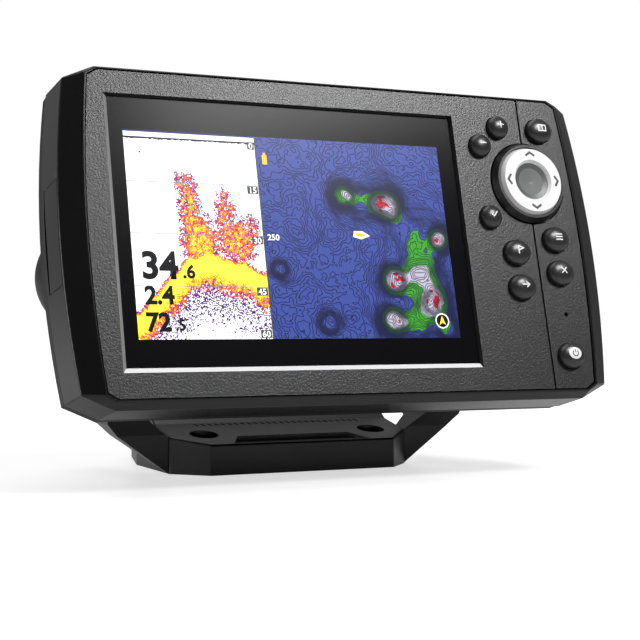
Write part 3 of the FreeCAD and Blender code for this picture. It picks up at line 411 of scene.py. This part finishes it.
def dressNodes():
    for finish, names in nodeFinish.items():
        for name in names:
            for slot in frame["nodes"][name].material_slots:
                slot.material = materials[finish]


dressNodes()
print("finishes on", len(frame["nodes"]), "nodes")

windowTrim = {"lap": 0.0015, "left": 0.0014, "bottom": 0.0016, "ahead": 0.00003}


def makeWindowTrim():  # the lining of the window's bevel, along the bottom and the left; the bottom strip is painted light as a painted highlight of the overhead light, the left strip is the darker grey
    glassLow, glassHigh = headSpan("cover_glass")
    front = plateLow.y - windowTrim["ahead"]
    back = glassLow.y - windowTrim["ahead"]
    left = glassLow.x + windowTrim["lap"]
    right = glassHigh.x - windowTrim["lap"]
    bottom = glassLow.z + windowTrim["lap"]
    top = glassHigh.z - windowTrim["lap"]
    outLeft = left - windowTrim["left"]
    outBottom = bottom - windowTrim["bottom"]
    corner = [(outLeft, front, outBottom), (left, back, bottom)]
    # the bottom strip is painted light as a painted highlight, the left strip gets the darker grey
    strips = [("trim_bottom", [(right, back, bottom), (right, front, outBottom)], "trimPaintedHighlight"),
              ("trim_left", [(left, back, top), (outLeft, front, top)], "trimGrey")]
    for name, ends, finish in strips:
        mesh = bpy.data.meshes.new(name)
        mesh.from_pydata([headPoint(*point) for point in corner + ends], [], [(0, 1, 2, 3)])
        newObject(name, mesh, materials[finish], "head")


makeWindowTrim()
print("window trimmed")

screen = {
    "borderRight": 0.0063,
    "borderUp": 0.0054,
    "ahead": 0.00003,
    "glow": 0.60,
    "roughness": 0.28,
    "specular": 0.12,
    "pixelPitch": 0.000135,
    "pixelGap": 0.16,
    "pixelDepth": 0.12,
}
panelLow, panelHigh = headSpan("lcd_panel")
lensFront = headSpan("cover_glass")[0].y
screenLeft = panelLow.x + screen["borderRight"]
screenBottom = panelLow.z + screen["borderUp"]
screenWide = panelHigh.x - panelLow.x - 2 * screen["borderRight"]
screenHigh = panelHigh.z - panelLow.z - 2 * screen["borderUp"]


def screenPoint(across, upward, layer=1):  # millimetres from the picture's lower left corner
    return headPoint(screenLeft + across / 1000, lensFront - layer * screen["ahead"],
                     screenBottom + upward / 1000)


sonar = {
    "wide": 42.5,
    "statusHigh": 0.5,
    "clearHigh": 1.5,
    "surfaceHigh": 1.3,
    "cell": 0.30,
    "slope": [(0.0, 7.0), (9.0, 15.0), (17.0, 24.5), (25.0, 26.0), (42.5, 20.0)],  # the bottom's (across, up)
    "sway": 4.0,
    "bandDeep": 5.5,
    "schools": [  # across, up, half width, half height, strength
        (19.0, 40.0, 3.6, 11.0, 0.62), (21.5, 30.0, 5.8, 8.0, 0.74), (17.0, 48.5, 2.4, 4.5, 0.50),
        (30.5, 38.0, 3.6, 9.0, 0.54), (33.5, 30.5, 6.8, 7.0, 0.64), (38.5, 34.0, 3.4, 5.5, 0.50)],
    "tones": [(0.0, (0.93, 0.93, 0.94)), (0.30, (0.05, 0.01, 0.12)), (0.38, (0.22, 0.02, 0.26)),
              (0.47, (0.52, 0.04, 0.05)), (0.56, (0.85, 0.16, 0.02)), (0.68, (0.95, 0.42, 0.02)),
              (0.84, (1.0, 0.84, 0.06))],
    "lines": (16.2, 32.4, 48.6),
    "lineHalf": 0.10,
    "lineTone": (0.16, 0.17, 0.20, 1),
    "ground": (0.16, 3.0, 0.5),  # scale, layers and roughness of the bottom's sway
    "bandEdge": (-2.2, 0.8),
    "bandFades": (0.9, 2.6),  # in band depths
    "streaks": (0.75, 4.0, 0.7),
    "streakStretch": 0.6,
    "streakShake": 1.7,
    "speckShake": 0.40,
    "calmFrom": (0.75, 1.0),
    "calmShare": 0.6,
    "shakenFrom": (0.05, 0.35),
    "dustEnds": (14.0, 34.0),
    "dustAbove": 0.50,
    "stray": (0.55, 1.0),
    "strayAbove": 0.745,
    "dustEcho": 0.33,
    "waveCell": 0.27,
    "wave": (1.4, 2.0),
    "ringTone": (0.004, 0.004, 0.012, 1),
    "clearTone": (0.93, 0.93, 0.94, 1),
    "statusTone": (0.02, 0.03, 0.16, 1),
}

chart = {
    "shoals": [  # across, up, reach, height
        (71.0, 46.5, 4.2, 0.42), (87.0, 44.0, 5.2, 0.48), (79.0, 44.5, 5.6, 0.24), (92.5, 35.0, 6.4, 0.24),
        (97.0, 26.5, 7.4, 0.27), (105.0, 33.0, 4.0, 0.46), (86.0, 19.0, 4.6, 0.42), (96.0, 16.0, 8.5, 0.26),
        (101.0, 11.0, 5.2, 0.34), (84.0, 5.5, 4.6, 0.42), (93.0, 4.5, 5.6, 0.28), (104.0, 3.0, 4.0, 0.30),
        (47.0, 22.0, 2.6, 0.20), (62.0, 5.0, 3.6, 0.22)],
    "deep": (0.040, 0.062, 0.262, 1),
    "shelf": (0.040, 0.270, 0.022, 1),
    "flat": (0.40, 0.38, 0.47, 1),
    "rock": (0.52, 0.012, 0.020, 1),
    "line": (0.006, 0.006, 0.020, 1),
    "step": 0.0165,
    "lineWide": 0.15,
    "lineEdges": (0.5, 1.3),  # in line widths
    "lineShare": 0.9,
    "seabed": (0.042, 5.0, 0.50),  # scale, layers and roughness
    "seabedHigh": 0.62,
    "shelfAbove": 0.66,
    "flatAbove": 0.77,
    "rockAbove": 0.84,
    "rockSpots": (0.30, 2.0),
    "spotsAbove": 0.53,
    "slopeReach": 0.08,
    "leastSlope": 0.004,
}


def makePixelGroup():  # the faint dark lines between a panel's dot columns
    tree, wire, given, out = newGroup(
        "panelPixels",
        [("Colour", "NodeSocketColor"), ("Pitch", "NodeSocketFloat"), ("Depth", "NodeSocketFloat")],
        [("Colour", "NodeSocketColor")])
    place = wire.add("ShaderNodeTexCoord").outputs["Object"]
    split = wire.add("ShaderNodeSeparateXYZ")
    wire.put(split.inputs[0], place)
    share = wire.math("FRACT", wire.math("DIVIDE", split.outputs["X"], given["Pitch"]))
    gap = wire.math("LESS_THAN", share, screen["pixelGap"])
    dim = wire.math("SUBTRACT", 1.0, wire.math("MULTIPLY", gap, given["Depth"]))
    tint = wire.add("ShaderNodeVectorMath", operation="SCALE")
    wire.put(tint.inputs[0], given["Colour"])
    wire.put(tint.inputs["Scale"], dim)
    wire.put(out["Colour"], tint.outputs[0])
    return tree


pixelGroup = makePixelGroup()


def screenMaterial(name, paint):  # paint(wire) returns the picture's colour
    material = bpy.data.materials.new(name)
    material.use_nodes = True
    wire = Wiring(material.node_tree)
    shader = material.node_tree.nodes["Principled BSDF"]
    colour = wire.group(pixelGroup, Colour=paint(wire), Pitch=screen["pixelPitch"],
                        Depth=screen["pixelDepth"])["Colour"]
    wire.put(shader.inputs["Base Color"], colour)
    wire.put(shader.inputs["Emission Color"], colour)
    shader.inputs["Emission Strength"].default_value = screen["glow"]
    shader.inputs["Roughness"].default_value = screen["roughness"]
    shader.inputs["Specular IOR Level"].default_value = screen["specular"]
    return material


def millimetres(wire):  # (across, up) on the picture, from its UV map
    place = wire.add("ShaderNodeUVMap").outputs["UV"]
    grow = wire.add("ShaderNodeVectorMath", operation="MULTIPLY")
    wire.put(grow.inputs[0], place)
    grow.inputs[1].default_value = (screenWide * 1000, screenHigh * 1000, 0)
    return grow.outputs[0]


def splitPlace(wire, place):
    node = wire.add("ShaderNodeSeparateXYZ")
    wire.put(node.inputs[0], place)
    return node.outputs["X"], node.outputs["Y"]


def joinPlace(wire, across, upward):
    node = wire.add("ShaderNodeCombineXYZ")
    wire.put(node.inputs[0], across)
    wire.put(node.inputs[1], upward)
    return node.outputs[0]


def softHill(wire, across, upward, centreX, centreY, halfX, halfY, strength):  # highest at the centre
    dx = wire.math("DIVIDE", wire.math("SUBTRACT", across, centreX), halfX)
    dy = wire.math("DIVIDE", wire.math("SUBTRACT", upward, centreY), halfY)
    far = wire.math("ADD", wire.math("MULTIPLY", dx, dx), wire.math("MULTIPLY", dy, dy))
    return wire.math("DIVIDE", strength, wire.math("ADD", 1.0, wire.math("MULTIPLY", far, far)))


def slopeHeight(wire, across):  # the bottom's height, straight between its points
    points = sonar["slope"]
    height = points[0][1]
    for (left, low), (right, high) in zip(points, points[1:]):
        share = wire.band(across, left, right)
        height = wire.math("ADD", height, wire.math("MULTIPLY", share, high - low))
    return height


def sonarGround(wire, cellX, cellY):  # how far each place lies under the bottom
    sway = wire.noise(joinPlace(wire, cellX, 0.0), *sonar["ground"])
    floor = wire.math("ADD", slopeHeight(wire, cellX),
                      wire.math("MULTIPLY", wire.math("SUBTRACT", sway, 0.5), 2 * sonar["sway"]))
    return wire.math("SUBTRACT", floor, cellY)


def sonarEcho(wire, cellX, cellY, under):
    deep = sonar["bandDeep"]
    fadeStart, fadeEnd = sonar["bandFades"]
    fall = wire.math("SUBTRACT", 1.0, wire.band(under, deep * fadeStart, deep * fadeEnd))
    echo = wire.math("MULTIPLY", wire.band(under, *sonar["bandEdge"]), fall)
    for values in sonar["schools"]:
        echo = wire.math("MAXIMUM", echo, softHill(wire, cellX, cellY, *values))
    return echo


def roughEcho(wire, cellX, cellY, under, echo):  # the echo broken up, with specks under the bottom and above it
    cells = joinPlace(wire, cellX, cellY)
    stretched = joinPlace(wire, cellX, wire.math("MULTIPLY", cellY, sonar["streakStretch"]))
    streaks = wire.math("SUBTRACT", wire.noise(stretched, *sonar["streaks"]), 0.5)
    speck = wire.add("ShaderNodeTexWhiteNoise", noise_dimensions="2D")
    wire.put(speck.inputs["Vector"], cells)
    specks = wire.math("SUBTRACT", speck.outputs["Value"], 0.5)
    shake = wire.math("ADD", wire.math("MULTIPLY", streaks, sonar["streakShake"]),
                      wire.math("MULTIPLY", specks, sonar["speckShake"]))
    steady = wire.math("MULTIPLY", wire.band(echo, *sonar["calmFrom"]), sonar["calmShare"])
    calm = wire.math("SUBTRACT", 1.0, steady)
    shaken = wire.math("MULTIPLY", wire.math("MULTIPLY", shake, calm), wire.band(echo, *sonar["shakenFrom"]))
    loud = wire.math("ADD", echo, shaken)
    deep = wire.math("MULTIPLY", wire.band(under, sonar["bandDeep"], sonar["bandDeep"] * 2),
                     wire.math("SUBTRACT", 1.0, wire.band(under, *sonar["dustEnds"])))
    dust = wire.math("GREATER_THAN", wire.math("MULTIPLY", speck.outputs["Value"], deep), sonar["dustAbove"])
    stray = wire.math("GREATER_THAN", wire.noise(cells, *sonar["stray"]), sonar["strayAbove"])
    dots = wire.math("MULTIPLY", wire.math("MAXIMUM", dust, stray), sonar["dustEcho"])
    return wire.math("MAXIMUM", loud, dots)


def sonarTones(wire, loud):
    ramp = wire.add("ShaderNodeValToRGB")
    ramp.color_ramp.interpolation = "CONSTANT"
    stops = ramp.color_ramp.elements
    while len(stops) < len(sonar["tones"]):
        stops.new(0.5)
    for stop, (at, tone) in zip(stops, sonar["tones"]):
        stop.position = at
        stop.color = (*tone, 1)
    wire.put(ramp.inputs[0], loud)
    return ramp.outputs[0]


def paintSonar(wire):
    across, upward = splitPlace(wire, millimetres(wire))
    cellX = wire.math("SNAP", across, sonar["cell"])
    cellY = wire.math("SNAP", upward, sonar["cell"])
    under = sonarGround(wire, cellX, cellY)
    echo = sonarEcho(wire, cellX, cellY, under)
    picture = sonarTones(wire, roughEcho(wire, cellX, cellY, under, echo))
    for height in sonar["lines"]:
        near = wire.math("COMPARE", upward, height, sonar["lineHalf"])
        picture = wire.mixColour(near, picture, sonar["lineTone"])
    top = screenHigh * 1000 - sonar["statusHigh"]
    surface = wire.noise(joinPlace(wire, wire.math("SNAP", across, sonar["waveCell"]), 3.0), *sonar["wave"])
    wave = wire.math("MULTIPLY", surface, sonar["surfaceHigh"])
    ring = wire.math("GREATER_THAN", wire.math("ADD", upward, wave), top - sonar["clearHigh"])
    picture = wire.mixColour(ring, picture, sonar["ringTone"])
    clear = wire.math("GREATER_THAN", upward, top - sonar["clearHigh"])
    picture = wire.mixColour(clear, picture, sonar["clearTone"])
    status = wire.math("GREATER_THAN", upward, top)
    return wire.mixColour(status, picture, sonar["statusTone"])


def makeChartHeight():
    tree, wire, given, out = newGroup(
        "seabedHeight", [("Place", "NodeSocketVector")], [("Height", "NodeSocketFloat")])
    across, upward = splitPlace(wire, given["Place"])
    wide = wire.noise(given["Place"], *chart["seabed"])
    height = wire.math("MULTIPLY", wide, chart["seabedHigh"])
    for centreX, centreY, reach, rise in chart["shoals"]:
        hill = softHill(wire, across, upward, centreX, centreY, reach, reach, rise)
        height = wire.math("ADD", height, hill)
    wire.put(out["Height"], height)
    return tree


chartHeight = makeChartHeight()


def seabedSlope(wire, place, height):
    across, upward = splitPlace(wire, place)
    reach = chart["slopeReach"]
    beside = joinPlace(wire, wire.math("ADD", across, reach), upward)
    above = joinPlace(wire, across, wire.math("ADD", upward, reach))
    squares = []
    for near in (beside, above):
        level = wire.group(chartHeight, Place=near)["Height"]
        slope = wire.math("DIVIDE", wire.math("SUBTRACT", level, height), reach)
        squares.append(wire.math("MULTIPLY", slope, slope))
    return wire.math("SQRT", wire.math("ADD", *squares))


def paintChart(wire):
    place = millimetres(wire)
    height = wire.group(chartHeight, Place=place)["Height"]
    slope = seabedSlope(wire, place, height)
    phase = wire.math("PINGPONG", height, chart["step"] / 2)
    away = wire.math("DIVIDE", phase, wire.math("MAXIMUM", slope, chart["leastSlope"]))
    edges = [chart["lineWide"] * edge for edge in chart["lineEdges"]]
    ink = wire.math("SUBTRACT", 1.0, wire.band(away, *edges))
    picture = chart["deep"]
    for tone in ("shelf", "flat"):
        picture = wire.mixColour(wire.math("GREATER_THAN", height, chart[tone + "Above"]), picture, chart[tone])
    spots = wire.noise(place, *chart["rockSpots"])
    high = wire.math("MULTIPLY", wire.math("GREATER_THAN", height, chart["rockAbove"]),
                     wire.math("GREATER_THAN", spots, chart["spotsAbove"]))
    picture = wire.mixColour(high, picture, chart["rock"])
    return wire.mixColour(wire.math("MULTIPLY", ink, chart["lineShare"]), picture, chart["line"])


def pictureMesh(name, left, right):  # one pane, in millimetres across the picture
    top = screenHigh * 1000
    mesh = bpy.data.meshes.new(name)
    corners = [(left, 0), (right, 0), (right, top), (left, top)]
    mesh.from_pydata([screenPoint(*corner) for corner in corners], [], [(0, 1, 2, 3)])
    layer = mesh.uv_layers.new(name="picture")
    for loop, (across, upward) in zip(layer.data, corners):
        loop.uv = (across / 1000 / screenWide, upward / 1000 / screenHigh)
    return mesh


def makeScreen():
    middle = sonar["wide"]
    panes = [("sonar_pane", 0, middle, screenMaterial("sonarPicture", paintSonar)),
             ("chart_pane", middle, screenWide * 1000, screenMaterial("chartPicture", paintChart))]
    for name, left, right, material in panes:
        newObject(name, pictureMesh(name, left, right), material, "head")


makeScreen()
print("screen painted")


def flatTone(colour):
    return lambda wire: colour


screenInk = {
    "black": screenMaterial("screenBlack", flatTone((0.004, 0.004, 0.006, 1))),
    "white": screenMaterial("screenWhite", flatTone((0.92, 0.92, 0.92, 1))),
    "grey": screenMaterial("screenGrey", flatTone((0.055, 0.055, 0.06, 1))),
    "amber": screenMaterial("screenAmber", flatTone((0.95, 0.48, 0.02, 1))),
    "yellow": screenMaterial("screenYellow", flatTone((1.0, 0.78, 0.04, 1))),
}


def shapeOnScreen(name, outline, tone, layer):
    mesh = bpy.data.meshes.new(name)
    mesh.from_pydata([screenPoint(across, upward, layer) for across, upward in outline], [],
                     [tuple(range(len(outline)))])
    newObject(name, mesh, screenInk[tone], "head")


def rectangleOutline(left, bottom, wide, high):
    return [(left, bottom), (left + wide, bottom), (left + wide, bottom + high), (left, bottom + high)]


def discOutline(centreX, centreY, radius, count=40):
    return [(centreX + radius * math.cos(2 * math.pi * index / count),
             centreY + radius * math.sin(2 * math.pi * index / count)) for index in range(count)]


def wordOnScreen(name, text, left, bottom, size, tone, layer, thicken, align="LEFT"):
    curve = bpy.data.curves.new(name, "FONT")
    curve.body = text
    curve.size = size
    curve.offset = thicken
    curve.align_x = align
    curve.resolution_u = 3
    holder = bpy.data.objects.new(name, curve)
    bpy.context.scene.collection.objects.link(holder)
    bpy.context.view_layer.update()
    graph = bpy.context.evaluated_depsgraph_get()
    mesh = bpy.data.meshes.new_from_object(holder.evaluated_get(graph))
    bpy.data.objects.remove(holder)
    for vertex in mesh.vertices:
        vertex.co = screenPoint(left + vertex.co.x, bottom + vertex.co.y, layer)
    mesh.materials.clear()
    newObject(name, mesh, screenInk[tone], "head")


readings = {
    "big": [("34", 2.4, 18.6, 11.6, 0.36), (".6", 15.2, 18.8, 5.6, 0.20), ("2.4", 2.8, 10.8, 7.6, 0.26),
            ("72", 2.6, 2.6, 7.8, 0.28), (".5", 11.6, 2.8, 4.6, 0.14)],
    "scale": [("0", 60.4), ("15", 45.9), ("30", 29.7), ("45", 13.5), ("60", 0.3)],
    "boxPad": 0.9,
    "digitWide": 1.35,
    "boxHigh": 2.5,
    "boxInset": 0.3,
    "markSize": 2.7,
    "markThicken": 0.05,
    "dividerWide": 0.45,
}


def makeReadings():
    for index, (text, left, bottom, size, thicken) in enumerate(readings["big"]):
        wordOnScreen(f"reading_{index}", text, left, bottom, size, "black", 3, thicken)
    edge = sonar["wide"] - readings["boxInset"]
    for text, height in readings["scale"]:
        wide = readings["boxPad"] + readings["digitWide"] * len(text)
        box = rectangleOutline(edge - wide, height, wide, readings["boxHigh"])
        shapeOnScreen(f"scale_box_{text}", box, "grey", 2)
        wordOnScreen(f"scale_mark_{text}", text, edge - wide / 2, height + readings["boxInset"],
                     readings["markSize"], "white", 3, readings["markThicken"], "CENTER")
    divider = readings["dividerWide"]
    outline = rectangleOutline(sonar["wide"] - divider / 3, 0, divider, screenHigh * 1000)
    shapeOnScreen("pane_divider", outline, "grey", 2)


icons = {
    "scaleMark": ("250", 43.8, 31.2, 2.7),
    "boat": [(73.4, 33.0), (76.2, 32.2), (79.4, 33.4), (76.8, 34.9), (73.8, 34.9)],
    "deck": [(74.2, 33.4), (76.3, 32.9), (77.9, 33.5), (76.4, 34.3), (74.5, 34.3)],
    "northAt": (102.0, 5.6),
    "ringRadius": 2.5,
    "faceRadius": 2.1,
    "arrow": [(0, 1.7), (-1.2, -1.4), (0, -0.6), (1.2, -1.4)],  # from the ring's centre
    "markerBody": (44.6, 55.8, 1.6, 3.0),
    "markerCap": (45.0, 58.8, 0.8, 0.8),
}


def makeChartIcons():
    wordOnScreen("chart_scale", *icons["scaleMark"], "white", 3, readings["markThicken"])
    shapeOnScreen("position_boat", icons["boat"], "white", 2)
    shapeOnScreen("position_deck", icons["deck"], "amber", 3)
    across, upward = icons["northAt"]
    shapeOnScreen("north_ring", discOutline(across, upward, icons["ringRadius"]), "white", 2)
    shapeOnScreen("north_face", discOutline(across, upward, icons["faceRadius"]), "black", 3)
    arrow = [(across + x, upward + y) for x, y in icons["arrow"]]
    shapeOnScreen("north_arrow", arrow, "yellow", 4)
    shapeOnScreen("marker_body", rectangleOutline(*icons["markerBody"]), "amber", 2)
    shapeOnScreen("marker_cap", rectangleOutline(*icons["markerCap"]), "amber", 2)


makeReadings()
makeChartIcons()
print("readings and icons on the screen")

keySymbols = {
    "lift": 0.00003,
    "line": 0.15,
    "scale": 0.66,
    "shift": (0.02, 0.10),
    "domeProud": 0.0020,
    "flangeLap": 0.0009,
    "powerPatch": (0.86, 0.72),
    "powerArc": (0.36, 40, 320),
    "powerBar": [(0, 0.08), (0, 0.48)],
    "powerLine": 0.12,
    "strokes": {  # in half widths of the key, from its centre
        "key_plus": [[(-0.46, 0), (0.46, 0)], [(0, 0.065), (0, 0.46)], [(0, -0.065), (0, -0.46)]],
        "key_minus": [[(-0.46, 0), (0.46, 0)]],
        "key_check": [[(-0.42, 0.02), (-0.12, -0.32), (0.46, 0.36)]],
        "key_view": [[(-0.5, -0.36), (0.5, -0.36), (0.5, 0.36), (-0.5, 0.36), (-0.5, -0.43)],
                     [(0, -0.29), (0, 0.29)]],
        "key_menu": [[(-0.46, 0.34), (0.46, 0.34)], [(-0.46, 0), (0.46, 0)], [(-0.46, -0.34), (0.46, -0.34)]],
        "key_mark": [[(-0.28, -0.5), (-0.28, 0.5)], [(-0.21, 0.44), (0.4, 0.2), (-0.21, -0.04)]],
        "key_goto": [[(-0.5, 0), (0.3, 0)], [(0.08, 0.34), (0.46, 0), (0.08, -0.34)]],
        "key_exit": [[(-0.36, 0.36), (0.36, -0.36)], [(0.36, 0.36), (0.05, 0.05)],
                     [(-0.05, -0.05), (-0.36, -0.36)]],
    },
}


def ribbon(points, wide, pieces=6):  # a flat strip along a line, as rows of (left, right) points
    rows = []
    for index in range(len(points)):
        before = Vector(points[max(index - 1, 0)])
        after = Vector(points[min(index + 1, len(points) - 1)])
        here = Vector(points[index])
        first = (here - before).normalized() if index else (after - here).normalized()
        second = (after - here).normalized() if index < len(points) - 1 else first
        along = (first + second).normalized()
        side = Vector((-along.y, along.x)) * (wide / 2 / max(along.dot(second), 0.4))
        rows.append((here - side, here + side))
    fine = []
    for start, end in zip(rows, rows[1:]):
        for step in range(pieces):
            share = step / pieces
            fine.append((start[0].lerp(end[0], share), start[1].lerp(end[1], share)))
    return fine + [rows[-1]]


def domeDepth(node):  # the front of a key's dome at a point given in half widths from its centre
    front = headSpan(node)[0].y - keySymbols["lift"]

    def depth(across, upward):
        inside = max(1 - across * across - upward * upward, 0)
        return front + keySymbols["domeProud"] * (1 - math.sqrt(inside))
    return depth


def keyHalves(node):
    low, high = headSpan(node)
    lap = keySymbols["flangeLap"]
    return (high.x - low.x) / 2 - lap, (high.z - low.z) / 2 - lap


def printOnKey(node, name, strips, material, layer=0):
    centre = middleOf(node)
    halfX, halfZ = keyHalves(node)
    depth = domeDepth(node)
    scale = keySymbols["scale"]
    shiftX, shiftZ = keySymbols["shift"]
    vertices = []
    faces = []
    for strip in strips:
        start = len(vertices)
        for pair in strip:
            for point in pair:
                across = point[0] / halfX * halfZ * scale + shiftX
                upward = point[1] * scale + shiftZ
                front = depth(across, upward) - layer * keySymbols["lift"]
                vertices.append(headPoint(centre.x + across * halfX, front, centre.z + upward * halfZ))
        for row in range(len(strip) - 1):
            first = start + 2 * row
            faces.append((first, first + 1, first + 3, first + 2))
    mesh = bpy.data.meshes.new(name)
    mesh.from_pydata(vertices, [], faces)
    newObject(name, mesh, material, node + "_cap")


def arcPoints(radius, start, end, count=28):
    turns = [math.radians(start + (end - start) * index / (count - 1)) for index in range(count)]
    return [(radius * math.sin(turn), radius * math.cos(turn)) for turn in turns]


def discStrips(halfWide, halfHigh, columns=8, rows=16):  # a filled oval, in upright strips
    strips = []
    for column in range(columns):
        left = 2 * column / columns - 1
        right = 2 * (column + 1) / columns - 1
        strip = []
        for row in range(rows + 1):
            turn = math.pi * (row / rows - 0.5)
            wide = halfWide * math.cos(turn)
            high = halfHigh * math.sin(turn)
            strip.append((Vector((left * wide, high)), Vector((right * wide, high))))
        strips.append(strip)
    return strips


def makeKeySymbols():
    for node, strokes in keySymbols["strokes"].items():
        strips = [ribbon(stroke, keySymbols["line"]) for stroke in strokes]
        printOnKey(node, node + "_symbol", strips, materials["inkWhite"])
    patch = discStrips(*keySymbols["powerPatch"])
    printOnKey("key_power", "key_power_patch", patch, materials["inkWhite"])
    line = keySymbols["powerLine"]
    strips = [ribbon(arcPoints(*keySymbols["powerArc"]), line, 1), ribbon(keySymbols["powerBar"], line)]
    printOnKey("key_power", "key_power_symbol", strips, materials["inkDark"], 1)


chevrons = {"middle": 0.0092, "half": 0.0018, "deep": 0.0012, "line": 0.0008, "lift": 0.00003}


def makeChevrons():
    centre = middleOf("cursor_ring")
    front = headSpan("cursor_ring")[0].y - chevrons["lift"]
    for name, turn in (("up", 0), ("right", 90), ("down", 180), ("left", 270)):
        tip = chevrons["middle"] + chevrons["deep"] / 2
        root = chevrons["middle"] - chevrons["deep"] / 2
        strip = ribbon([(-chevrons["half"], root), (0, tip), (chevrons["half"], root)], chevrons["line"])
        angle = math.radians(turn)
        vertices = []
        for pair in strip:
            for point in pair:
                across = point.x * math.cos(angle) + point.y * math.sin(angle)
                upward = -point.x * math.sin(angle) + point.y * math.cos(angle)
                vertices.append(headPoint(centre.x + across, front, centre.z + upward))
        faces = [(2 * row, 2 * row + 1, 2 * row + 3, 2 * row + 2) for row in range(len(strip) - 1)]
        mesh = bpy.data.meshes.new("chevron_" + name)
        mesh.from_pydata(vertices, [], faces)
        newObject("chevron_" + name, mesh, materials["inkDark"], "cursor")


makeKeySymbols()
makeChevrons()
print("symbols printed")
